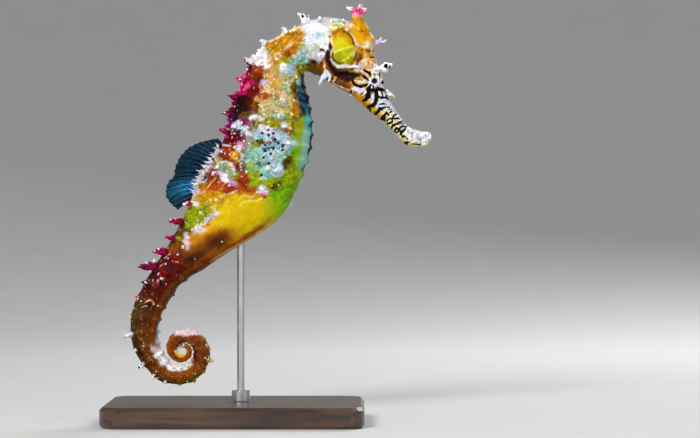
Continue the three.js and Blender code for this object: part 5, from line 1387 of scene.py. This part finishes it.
def thin_shell(name, sheet, thickness, material):
    """A closed thin shell on a grid of points in mm, with the grid's own unwrap as its UV map."""
    sheet = np.asarray(sheet, float)
    down = np.gradient(sheet, axis=0)
    right = np.gradient(sheet, axis=1)
    normal = np.cross(down, right)
    normal /= np.linalg.norm(normal, axis=2)[:, :, None] + 1e-9
    half = normal * np.asarray(thickness)[:, :, None] / 2
    rows, columns = sheet.shape[:2]
    points = np.concatenate([(sheet + half).reshape(-1, 3), (sheet - half).reshape(-1, 3)])
    index = np.arange(rows * columns).reshape(rows, columns)
    quads = np.stack([index[:-1, :-1], index[1:, :-1], index[1:, 1:], index[:-1, 1:]], axis=-1).reshape(-1, 4)
    other = quads[:, ::-1] + rows * columns
    rim = np.concatenate([index[0, :-1], index[:-1, -1], index[-1, :0:-1], index[:0:-1, 0]])
    after = np.roll(rim, -1)
    edge = np.stack([rim, after, after + rows * columns, rim + rows * columns], axis=-1)
    piece = new_piece(name, points, np.concatenate([quads, other, edge]).tolist(), material)
    unwrap = np.stack(np.meshgrid(np.linspace(0, 1, columns), np.linspace(0, 1, rows)), axis=-1)
    unwrap = unwrap.reshape(-1, 2)
    unwrap = np.concatenate([unwrap, unwrap])
    point_of = np.zeros(len(piece.data.loops), int)
    piece.data.loops.foreach_get("vertex_index", point_of)
    piece.data.uv_layers.new(name="UVMap").data.foreach_set("uv", unwrap[point_of].astype(np.float32).ravel())
    return piece


def frill_sheet(side):
    """The fold's middle sheet from foot to toothed edge, and the place on the skin of each column."""
    sheet, rings = [], np.linspace(FRILL["from"], FRILL["to"], FRILL["columns"])
    for ring in rings:
        length = float(length_at(ring))
        angle = side * float(ridge_angle("upper", np.array([length]))[0])
        foot, outward = skin_place(length, angle)
        aim = up_at(length) + 0.35 * outward
        tooth = bump_at((ring + 0.5) % 1 - 0.5, FRILL["tooth_width"])
        ragged = 0.8 + 0.25 * math.sin(19 * ring) + 0.2 * math.sin(43 * ring + side)
        ends = smooth(ring, FRILL["from"], FRILL["from"] + 0.4)
        ends = ends * (1 - smooth(ring, FRILL["to"] - 0.4, FRILL["to"]))
        low = FRILL["low"] + (1 - FRILL["low"]) * smooth(ring, *FRILL["full_height"])
        tall = (FRILL["base"] + FRILL["tooth"] * tooth) * ragged * ends * low + 0.3
        wave = np.array([0, 0.12 * math.sin(11 * ring), 0])
        sheet.append([foot - outward * 0.25 + (aim * tall + wave) * r / (FRILL["rows"] - 1)
                      for r in range(FRILL["rows"])])
    return np.swapaxes(np.array(sheet), 0, 1), rings


def grow_frill(name, side):
    sheet, rings = frill_sheet(side)
    reach = np.linspace(0, 1, FRILL["rows"])[:, None] * np.ones(FRILL["columns"])
    frill = thin_shell(name, sheet[:, ::side], FRILL["foot"] + (FRILL["edge"] - FRILL["foot"]) * reach**0.6,
                       living_skin)
    rings = np.tile(rings[::side], 2 * FRILL["rows"])
    places = np.concatenate([sheet[:, ::side].reshape(-1, 3)] * 2)
    reach = np.concatenate([reach.ravel()] * 2)
    shades = np.array([colour(next(tint for last, tint in FRILL_TINTS if ring <= last))
                       for ring in rings + 0.25 * cloud(places, 0.8, 31)])
    keep(frill, pigment=shades, marks=np.tile([0.0, 0.15, 0.1, 1.0], (len(rings), 1)),
         tip_tint=np.tile(colour("pink"), (len(rings), 1)), tip=reach * 0.62)
    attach(frill, "root")


grow_frill("frill_left", 1)
grow_frill("frill_right", -1)


# ---- The eyes -----------------------------------------------------------------------------------
# Round eyes that stand out like turrets and turn on their own. A small black pupil sits in a pale
# iris, and dark petals run out from it over the eye into the skin around.
EYE_ROWS, EYE_COLUMNS = 40, 64
PUPIL, PUPIL_RIM, IRIS = 0.59, 0.69, 0.86  # radii in mm


def eye_points(side):
    """A ball about the line across the head, its pupil a little sunk behind a raised rim."""
    points = []
    for i in range(1, EYE_ROWS):
        tilt = math.pi * (i / EYE_ROWS) ** 1.25
        out, along = EYE["radius"] * math.sin(tilt), EYE["radius"] * math.cos(tilt)
        if tilt < math.pi / 2:
            along += 0.05 * float(bump_at(out - PUPIL_RIM, 0.09)) - 0.05 * float(1 - smooth(out, 0.35, 0.6))
        for j in range(EYE_COLUMNS):
            turn = 2 * math.pi * j / EYE_COLUMNS
            points.append((EYE["x"] + out * math.cos(turn), side * (EYE["y"] + along),
                           EYE["z"] + out * math.sin(turn)))
    front = EYE["y"] + EYE["radius"] - 0.05
    hind = EYE["y"] - EYE["radius"]
    return points + [(EYE["x"], side * front, EYE["z"]), (EYE["x"], side * hind, EYE["z"])]


def lathe_faces(rows, columns, flip):
    """Quads between the rows and fans at both ends, with the end points last."""
    faces = []
    for j in range(columns):
        k = (j + 1) % columns
        faces += [(i * columns + j, i * columns + k, (i + 1) * columns + k, (i + 1) * columns + j)
                  for i in range(rows - 1)]
        last_row = (rows - 1) * columns
        faces += [(rows * columns, k, j), (rows * columns + 1, last_row + j, last_row + k)]
    return [tuple(reversed(face)) for face in faces] if flip else faces


def eye_material():
    """Glossy, with a pale iris round the pupil that runs out into the face's own bars and petals."""
    tree = Finish("eye")
    centred = tree.add("ShaderNodeMapping", {
        "Vector": tree.place, "Location": (-EYE["x"], 0, -EYE["z"]), "Scale": (1 / MM, 1 / MM, 1 / MM)})[0]
    across, _, high = tree.add("ShaderNodeSeparateXYZ", {0: centred})
    radius = tree.math("SQRT", tree.plus(tree.math("POWER", across, 2.0), tree.math("POWER", high, 2.0)))
    grain = tree.noise(tree.place, 2600.0, 3.0)
    wobble = tree.times(tree.minus(grain, 0.5), 1.6)
    streaks = tree.math("COSINE", tree.plus(tree.times(tree.math("ARCTAN2", high, across), 40.0), wobble))
    iris = tree.mix(tree.spread(streaks, -1, 1), (0.84, 0.85, 0.90, 1), (0.66, 0.62, 0.56, 1))
    reach = tree.plus(radius, tree.times(wobble, 0.08))
    ink = tree.spread(tree.split(tree.attribute("marks")["Color"])[0], 0.40, 0.62)
    ringed = tree.mix(tree.spread(reach, IRIS - 0.1, IRIS + 0.1), iris, tree.attribute("pigment")["Color"])
    marked = tree.mix(tree.times(ink, tree.spread(reach, 0.88, 0.98)), ringed, opaque("ink"))
    rim = tree.mix(tree.spread(radius, PUPIL_RIM, PUPIL_RIM + 0.08), (0.06, 0.07, 0.16, 1), marked)
    return tree.end({
        "Base Color": tree.mix(tree.spread(radius, PUPIL, PUPIL + 0.06), (0.004, 0.004, 0.006, 1), rim),
        "Roughness": tree.spread(radius, PUPIL, 1.5, 0.05, 0.32), "Specular IOR Level": 0.2,
        "Coat Weight": 0.3, "Coat Roughness": 0.05}, tree.plus(grain, tree.times(streaks, 0.2)), 0.2, 0.00004)


eye_finish = eye_material()
for side_name, side in (("left", 1), ("right", -1)):
    places = np.array(eye_points(side))
    eye_faces = lathe_faces(EYE_ROWS - 1, EYE_COLUMNS, side < 0)
    eye = new_piece("eyeball_" + side_name, places, eye_faces, eye_finish)
    pigment, marks = paint(places, np.full(len(places), ring_at(length_of("eye"))), np.full(len(places), 0.5))
    keep(eye, pigment=pigment, marks=marks)
    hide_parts("eye_" + side_name)
    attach(eye, "root")


# ---- The coronet --------------------------------------------------------------------------------
# A horny crown of one piece with the skull's top: an ochre stalk that flares into a pink star of
# five points round a shallow cup.
CROWN = {"x": 29.4, "foot": 93.6, "sides": 80, "least_reach": 1.15, "rim": 98.55, "cup": 98.15,
         "point_width": 27, "star": (97.0, 98.0)}
# The stalk's outline as (height, radius), in mm.
CROWN_STALK = [
    (93.6, 3), (94.4, 2.75), (95.2, 2.3), (96, 1.85), (96.8, 1.5), (97.4, 1.3), (97.9, 1.26), (98.2, 1.34),
]
# Its points: (direction from the front in degrees, reach, height of the tip).
CROWN_POINTS = [(180, 2.7, 99.75), (72, 1.9, 100.35), (-72, 1.9, 100.35), (22, 2.25, 98.95),
                (-22, 2.25, 99.25)]


def crown_rim(turn):
    """Reach and height of the star's rim in a direction."""
    reach, high = CROWN["least_reach"], CROWN["rim"]
    for degrees, far, tip in CROWN_POINTS:
        off = (math.degrees(turn) - degrees + 180) % 360 - 180
        near = math.exp(-abs(off / CROWN["point_width"]) ** 1.5)
        reach += (far - CROWN["least_reach"]) * near
        high += (tip - CROWN["rim"]) * near
    return reach, high


def crown_grid():
    """Rows up the stalk, out along the star's points, and back over them into the cup."""
    rows, tips = [], []
    for j in range(CROWN["sides"]):
        turn = 2 * math.pi * j / CROWN["sides"]
        reach, high = crown_rim(turn)
        flutes = 1 + 0.05 * math.cos(5 * turn + 0.6)
        column = [(h, r * flutes) for h, r in CROWN_STALK]
        neck_h, neck_r = column[-1]
        for t in (0.2, 0.4, 0.6, 0.8, 1.0):
            column.append((neck_h + (high - neck_h) * t**1.25, neck_r + (reach - neck_r) * t))
        for t in (0.85, 0.65, 0.45, 0.25, 0.1):
            column.append((CROWN["cup"] + (high - CROWN["cup"] + 0.12) * t**1.6, reach * t))
        rows.append(column)
        tips.append([0] * len(CROWN_STALK) + [0.1, 0.3, 0.55, 0.8, 1, 0.85, 0.55, 0.3, 0.1, 0]
                    if reach > 1.6 else [0] * len(column))
    count = len(rows[0])
    points = [(CROWN["x"] + rows[j][i][1] * math.cos(2 * math.pi * j / CROWN["sides"]),
               rows[j][i][1] * math.sin(2 * math.pi * j / CROWN["sides"]), rows[j][i][0])
              for i in range(count) for j in range(CROWN["sides"])]
    shares = [tips[j][i] for i in range(count) for j in range(CROWN["sides"])]
    points += [(CROWN["x"], 0, CROWN["foot"]), (CROWN["x"], 0, CROWN["cup"])]
    return np.array(points), np.array(shares + [0, 0], float), count


def crown_colours(points):
    """Ochre below, rose above, with purple blotches in the cup and at the points' feet."""
    x, y, z = points.T
    drift = 0.35 * cloud(points, 0.8, 21)
    shades = np.tile(colour("gold"), (len(x), 1))
    shades = lay(shades, "amber", smooth(z + drift, 95.0, 96.4))
    shades = lay(shades, "umber", smooth(cloud(points, 0.9, 25), 0.2, 0.6) * 0.6)
    shades = lay(shades, "peach", bump_at(z + drift - 97.6, 0.35) * 0.8)
    shades = lay(shades, "rose", smooth(z + drift, 97.5, 98.0))
    shades = lay(shades, "magenta", smooth(cloud(points, 0.55, 22), 0.25, 0.45) * smooth(z, 98.2, 98.6))
    return lay(shades, "purple", smooth(cloud(points, 0.4, 23), 0.5, 0.6) * smooth(z, 98.3, 98.8))


crown_points, crown_tips, crown_rows = crown_grid()
crown_points += 0.06 * cloud(crown_points, 0.6, 24)[:, None] * np.array([1, 1, 0.4])
crown = new_piece("crown", crown_points, lathe_faces(crown_rows, CROWN["sides"], False), living_skin)
star = smooth(crown_points[:, 2], *CROWN["star"])
keep(crown, pigment=crown_colours(crown_points), tip=crown_tips,
     marks=np.stack([0 * star, 0.2 * star, 0 * star, 0.25 + 0.5 * star], axis=1),
     tip_tint=np.tile([0.9, 0.8, 0.88, 1.0], (len(crown_points), 1)))
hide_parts("coronet")
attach(crown, "root")


# ---- The dorsal fin -----------------------------------------------------------------------------
# A fan of thin dusky-blue membrane on nineteen jointed rays, which rises from the back over the
# last trunk rings. A notch parts its small, brighter hind lobe from the rest.
FIN_RAYS, RAY_STEPS, BETWEEN_RAYS = 19, 14, 6
# The edge from front to hind end as (x, z), in mm.
FIN_EDGE = [
    (-4.2, 68.2), (-6.2, 67.9), (-9, 67.2), (-11.4, 66), (-13.4, 63.8), (-14.5, 61.2), (-14.8, 58.9),
    (-15.9, 58.1), (-16.7, 56.6), (-16.8, 54.2), (-15.6, 52.5), (-13.8, 51),
]
FIN_FEET = (8.0, 11.75)  # the rings between which it stands
RAY_GIRTH = 0.13


def along_line(corners, share):
    """A point at a share of the length of a line through corners."""
    corners = np.array(corners, float)
    runs = np.concatenate([[0], np.cumsum(np.linalg.norm(np.diff(corners, axis=0), axis=1))])
    return np.array([np.interp(share * runs[-1], runs, corners[:, k]) for k in range(corners.shape[1])])


def back_at(ring, sink):
    """The middle of the back at a ring, sunk a little into the body, as (x, z) in mm."""
    row = row_at(float(length_at(ring)))
    return row[0:2] + (row[2:4] - row[0:2]) * sink


def fin_point(share, reach):
    """A point of the fin's middle sheet: share runs along its foot, reach from foot to edge."""
    foot = back_at(FIN_FEET[0] + (FIN_FEET[1] - FIN_FEET[0]) * share, 0.05)
    tip = along_line(FIN_EDGE, share)
    phase = share * (FIN_RAYS - 1)
    between = math.sin(math.pi * (phase % 1)) if phase % 1 else 0
    line = foot + (tip - foot) * reach * (1 - 0.035 * between)
    sag = np.array([tip[1] - foot[1], foot[0] - tip[0]]) * 0.06 * math.sin(math.pi * reach)
    ruffle = reach**2 * (0.42 * math.sin(9 * share) + 0.14 * math.cos(math.pi * phase))
    return [line[0] + sag[0], ruffle, line[1] + sag[1]]


def ray_tree():
    """Turns edges into round rays, thick at the foot and jointed along their length."""
    tree, given, out = new_group("rays", "GeometryNodeTree", {
        **GEOMETRY, "Sides": "Int", "Material": "Material"}, GEOMETRY)
    curves = tree.add("GeometryNodeMeshToCurve", {"Mesh": given["Geometry"]})[0]
    ring = tree.add("GeometryNodeCurvePrimitiveCircle", {"Resolution": given["Sides"], "Radius": 1.0})[0]
    tube = tree.add("GeometryNodeCurveToMesh", {
        "Curve": curves, "Profile Curve": ring, "Scale": stored(tree, "girth"), "Fill Caps": True})[0]
    tree.feed(out, {0: realized(tree, tube, given["Material"])})
    return tree.tree


fin_rays_tree = ray_tree()


def make_rays(name, lines, girths, material, sides=8):
    """Round rays along lines of points in mm, each with a girth for every point."""
    points = np.concatenate([np.asarray(line, float) for line in lines])
    starts = np.cumsum([0] + [len(line) for line in lines])
    edges = [(i, i + 1) for a, b in zip(starts, starts[1:]) for i in range(a, b - 1)]
    piece = new_piece(name, points, [], edges=edges)
    keep(piece, girth=np.concatenate(girths) * MM)
    run_tree(piece, fin_rays_tree, sides=sides, material=material)
    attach(piece, "root")
    return piece


HIND_LOBE = (0.66, 0.74, 0.84, 0.92)  # where along the fin the brighter lobe rises and falls


def membrane_material(name, dark, light, hind, edge, clearness, streaks):
    """Thin fin skin, streaked along the rays, with a brighter hind lobe and another tone at the edge."""
    tree = Finish(name)
    unwrap = tree.add("ShaderNodeUVMap", uv_map="UVMap")[0]
    along, outward, _ = tree.add("ShaderNodeSeparateXYZ", {0: unwrap})
    streak = tree.noise(tree.drawn_out(unwrap, (streaks, 3.0, 1.0)), 1.0, 4.0)
    base = tree.mix(tree.spread(streak, 0.42, 0.66), dark, light)
    on_lobe = tree.times(tree.spread(along, *HIND_LOBE[:2]), tree.spread(along, *HIND_LOBE[2:], 1, 0))
    toned = tree.mix(on_lobe, base, tree.mix(tree.spread(streak, 0.40, 0.62), light, hind))
    toned = tree.mix(tree.spread(outward, 0.4, 0.9, 0, 0.75), toned, edge)
    grain = tree.add("ShaderNodeGroup", {
        "Pigment": toned, "Place": tree.place, "Granules per metre": 5200.0, "Mottling": 0.35},
        node_tree=skin_grain)
    solid = tree.minus(1.0, tree.times(clearness, tree.plus(0.35, tree.times(outward, 0.65))))
    alpha = tree.math("ADD", solid, tree.times(tree.minus(streak, 0.5), 0.3), clamp=True)
    return tree.end({"Base Color": grain["Colour"], "Alpha": alpha, "Roughness": 0.45,
                     "Specular IOR Level": 0.06}, streak, 0.5, 0.0001)


def ray_material(name, foot, tip):
    """Rays: pale and cloudy, jointed in short lengths."""
    tree = Finish(name)
    joints = tree.noise(tree.place, 1800.0, 2.0)
    tone = tree.mix(tree.spread(joints, 0.38, 0.62), foot, tip)
    return tree.end({"Base Color": tone, "Roughness": 0.35}, joints, 0.4, 0.00006)


fin_columns = (FIN_RAYS - 1) * BETWEEN_RAYS + 1
fin_sheet = [[fin_point(c / (fin_columns - 1), r / RAY_STEPS) for c in range(fin_columns)]
             for r in range(RAY_STEPS + 1)]
fin_thickness = [[0.22 - 0.15 * r / RAY_STEPS] * fin_columns for r in range(RAY_STEPS + 1)]
dusky = membrane_material("dorsal_membrane", (0.0005, 0.004, 0.014, 1), (0.001, 0.030, 0.085, 1),
                          (0.008, 0.27, 0.52, 1), (0.0008, 0.022, 0.034, 1), 0.05, 46.0)
dorsal = thin_shell("dorsal_membrane", fin_sheet, fin_thickness, dusky)
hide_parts("dorsal_fin")
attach(dorsal, "root")

ray_shares = np.linspace(0, 1, FIN_RAYS)
ray_lines = [[fin_point(share, r / RAY_STEPS * 0.985) for r in range(RAY_STEPS + 1)] for share in ray_shares]
ray_girths = [np.linspace(RAY_GIRTH, RAY_GIRTH * 0.3, RAY_STEPS + 1) for _ in ray_shares]
blue_ray = ray_material("dorsal_ray", (0.002, 0.04, 0.12, 1), (0.01, 0.20, 0.38, 1))
dorsal_rays = make_rays("dorsal_rays", ray_lines, ray_girths, blue_ray)


# ---- The pectoral fins and the anal fin ---------------------------------------------------------
# Small glass-clear fins: one behind each gill cover, which fans as the animal hovers, and a tiny
# one under the vent. Fine rays show in them.
SMALL_FIN_STEPS = 8
PECTORAL = {"rays": 11, "spread": 62, "reach": 2.6, "flatness": 0.55, "base": 3.0, "splay": 20, "droop": 12}
ANAL = {"rays": 4, "feet": ((11.3, 52.4), (12.6, 54.2)), "tips": ((12.8, 51.2), (14.1, 53.0)), "bulge": 0.2}


def pectoral_point(side, share, reach):
    """A point of the fan, laid out flat and then turned to lie back along the neck."""
    box_low, box_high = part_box("pectoral_fin_" + ("left" if side > 0 else "right"))
    root = np.array([box_high.x, (box_low.y if side > 0 else box_high.y), (box_low.z + box_high.z) / 2]) / MM
    direction = math.radians(180 + (share * 2 - 1) * PECTORAL["spread"])
    far = PECTORAL["reach"] * reach * (1 - 0.03 * abs(math.sin(math.pi * share * (PECTORAL["rays"] - 1))))
    x = far * math.cos(direction)
    z = (0.5 - share) * PECTORAL["base"] + PECTORAL["flatness"] * far * math.sin(direction)
    splay, droop = math.radians(PECTORAL["splay"]), math.radians(PECTORAL["droop"])
    y = -side * math.sin(splay) * x + side * 0.12 * math.sin(6 * share + 3 * reach) * reach
    x = math.cos(splay) * x
    return [root[0] + x * math.cos(droop) - z * math.sin(droop) - 0.1, root[1] + y + side * 0.05,
            root[2] + z * math.cos(droop)]


def anal_point(share, reach):
    feet, tips = np.array(ANAL["feet"]), np.array(ANAL["tips"])
    foot = feet[0] + (feet[1] - feet[0]) * share
    tip = tips[0] + (tips[1] - tips[0]) * share
    bulge = (tip - foot) * ANAL["bulge"] * math.sin(math.pi * share)
    x, z = foot + (tip - foot + bulge) * reach
    return [x, 0.08 * math.sin(5 * share) * reach, z]


clear_skin = membrane_material("clear_membrane", (0.62, 0.70, 0.62, 1), (0.82, 0.86, 0.80, 1),
                               (0.82, 0.86, 0.80, 1), (0.82, 0.86, 0.80, 1), 0.98, 24.0)
clear_ray = ray_material("clear_ray", (0.50, 0.48, 0.20, 1), (0.72, 0.70, 0.46, 1))


def small_fin(name, node_name, at, rays):
    """A clear fin and its rays, over the solid that it replaces."""
    columns = (rays - 1) * 4 + 1
    sheet = [[at(c / (columns - 1), r / SMALL_FIN_STEPS) for c in range(columns)]
             for r in range(SMALL_FIN_STEPS + 1)]
    thickness = [[0.12 - 0.07 * r / SMALL_FIN_STEPS] * columns for r in range(SMALL_FIN_STEPS + 1)]
    fin = thin_shell(name + "_membrane", sheet, thickness, clear_skin)
    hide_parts(node_name)
    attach(fin, "root")
    lines = [[at(share, r / SMALL_FIN_STEPS) for r in range(SMALL_FIN_STEPS + 1)]
             for share in np.linspace(0, 1, rays)]
    girths = [np.linspace(0.06, 0.02, SMALL_FIN_STEPS + 1) for _ in lines]
    made = make_rays(name + "_rays", lines, girths, clear_ray, sides=6)


for side_name, side in (("left", 1), ("right", -1)):
    small_fin("pectoral_" + side_name, "pectoral_fin_" + side_name,
              lambda share, reach, side=side: pectoral_point(side, share, reach), PECTORAL["rays"])
small_fin("anal", "anal_fin", anal_point, ANAL["rays"])


# ---- The stand ----------------------------------------------------------------------------------
# A bevelled base of dark stained wood with a satin lacquer. A turned steel ferrule let into it
# holds the polished rod that carries the animal by its pouch.
def wood_material():
    """Long grain with darker pores, under a worn satin lacquer."""
    tree = Finish("stained_wood")
    figure = tree.noise(tree.drawn_out(tree.place, (18.0, 160.0, 160.0)), 2.2, 5.0, Distortion=0.9)
    pores = tree.noise(tree.drawn_out(tree.place, (120.0, 2600.0, 2600.0)), 1.0, 3.0)
    toned = tree.mix(tree.spread(figure, 0.34, 0.66), (0.030, 0.014, 0.008, 1), (0.095, 0.046, 0.022, 1))
    return tree.end({
        "Base Color": tree.mix(tree.spread(pores, 0.56, 0.70), toned, (0.014, 0.007, 0.004, 1)),
        "Roughness": tree.spread(figure, 0.3, 0.7, 0.30, 0.44), "Coat Weight": 0.35, "Coat Roughness": 0.18},
        pores, 0.25, 0.0001)


def steel_material():
    """Polished steel with faint turning marks round it and a few dull smudges."""
    tree = Finish("brushed_steel")
    lines = tree.noise(tree.drawn_out(tree.place, (300.0, 300.0, 2200.0)), 1.0, 2.0)
    smudge = tree.noise(tree.place, 300.0, 3.0)
    return tree.end({
        "Base Color": tree.mix(smudge, (0.50, 0.51, 0.52, 1), (0.64, 0.645, 0.65, 1)), "Metallic": 1.0,
        "Roughness": tree.spread(smudge, 0.35, 0.65, 0.26, 0.34)}, lines, 0.05, 0.00001)


stand_finishes = {"stand_base": wood_material(), "stand_rod": steel_material()}
stand_finishes["stand_ferrule"] = stand_finishes["stand_rod"]
for node_name, finish in stand_finishes.items():
    for material_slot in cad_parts[node_name].material_slots:
        material_slot.material = finish


# ---- The floor, the light and the camera --------------------------------------------------------
# A plain pale floor that curves up into a wall all round, under soft studio lamps. The camera looks
# level at the animal's right side.
CENTRE = Vector((0.0276, 0.0, 0.04884))
COVE = {"floor": 0.40, "bend": 1.0, "wall": 1.5, "sides": 96, "bend_steps": 24}


def soft_lamp(name, place, size, power, tone):
    lamp = bpy.data.lights.new(name, "AREA")
    lamp.shape, lamp.size, lamp.energy, lamp.color = "DISK", size, power, tone
    holder = bpy.data.objects.new(name, lamp)
    holder.location = place
    holder.rotation_euler = (CENTRE - Vector(place)).to_track_quat("-Z", "Y").to_euler()
    bpy.context.scene.collection.objects.link(holder)


def floor_material():
    tree = Finish("pale_floor")
    tone = tree.mix(tree.noise(tree.place, 60.0, 3.0), (0.66, 0.66, 0.665, 1), (0.70, 0.70, 0.70, 1))
    return tree.end({"Base Color": tone, "Roughness": 0.8})


def cove_mesh():
    """The floor and the wall in one, as a lathed profile."""
    profile = [(COVE["floor"], 0.0)]
    for step in range(1, COVE["bend_steps"] + 1):
        turn = math.radians(90 * step / COVE["bend_steps"])
        profile.append((COVE["floor"] + COVE["bend"] * math.sin(turn), COVE["bend"] * (1 - math.cos(turn))))
    profile.append((COVE["floor"] + COVE["bend"], COVE["wall"]))
    sides = COVE["sides"]
    points = [(r * math.cos(2 * math.pi * j / sides), r * math.sin(2 * math.pi * j / sides), z)
              for r, z in profile for j in range(sides)]
    faces = [(i * sides + j, i * sides + (j + 1) % sides,
              (i + 1) * sides + (j + 1) % sides, (i + 1) * sides + j)
             for i in range(len(profile) - 1) for j in range(sides)]
    faces += [(j, len(points), (j + 1) % sides) for j in range(sides)]
    mesh = bpy.data.meshes.new("floor")
    mesh.from_pydata(points + [(0.0, 0.0, 0.0)], [], [tuple(reversed(face)) for face in faces])
    mesh.shade_smooth()
    mesh.materials.append(floor_material())
    return mesh


floor = bpy.data.objects.new("floor", cove_mesh())
bpy.context.scene.collection.objects.link(floor)

soft_lamp("key_lamp", (-0.20, -0.46, 0.34), 0.18, 2.9, (1.0, 0.98, 0.95))
soft_lamp("fill_lamp", (0.42, -0.40, 0.10), 0.40, 0.5, (0.95, 0.98, 1.0))
soft_lamp("rim_lamp", (0.24, 0.40, 0.34), 0.25, 1.6, (1.0, 1.0, 1.0))

world = bpy.data.worlds.new("studio")
world.use_nodes = True
world.node_tree.nodes["Background"].inputs["Color"].default_value = (0.80, 0.81, 0.82, 1)
world.node_tree.nodes["Background"].inputs["Strength"].default_value = 0.45
bpy.context.scene.world = world
bpy.context.scene.view_settings.view_transform = "Standard"

DISTANCE, VIEW_WIDTH, SENSOR = 0.6, 0.168, 36.0
camera = bpy.data.cameras.new("camera")
camera.sensor_width = SENSOR
camera.lens = SENSOR * DISTANCE / VIEW_WIDTH
camera_holder = bpy.data.objects.new("camera", camera)
camera_holder.location = CENTRE - Vector((0, DISTANCE, 0))
camera_holder.rotation_euler = (math.radians(90), 0, 0)
bpy.context.scene.collection.objects.link(camera_holder)
bpy.context.scene.camera = camera_holder
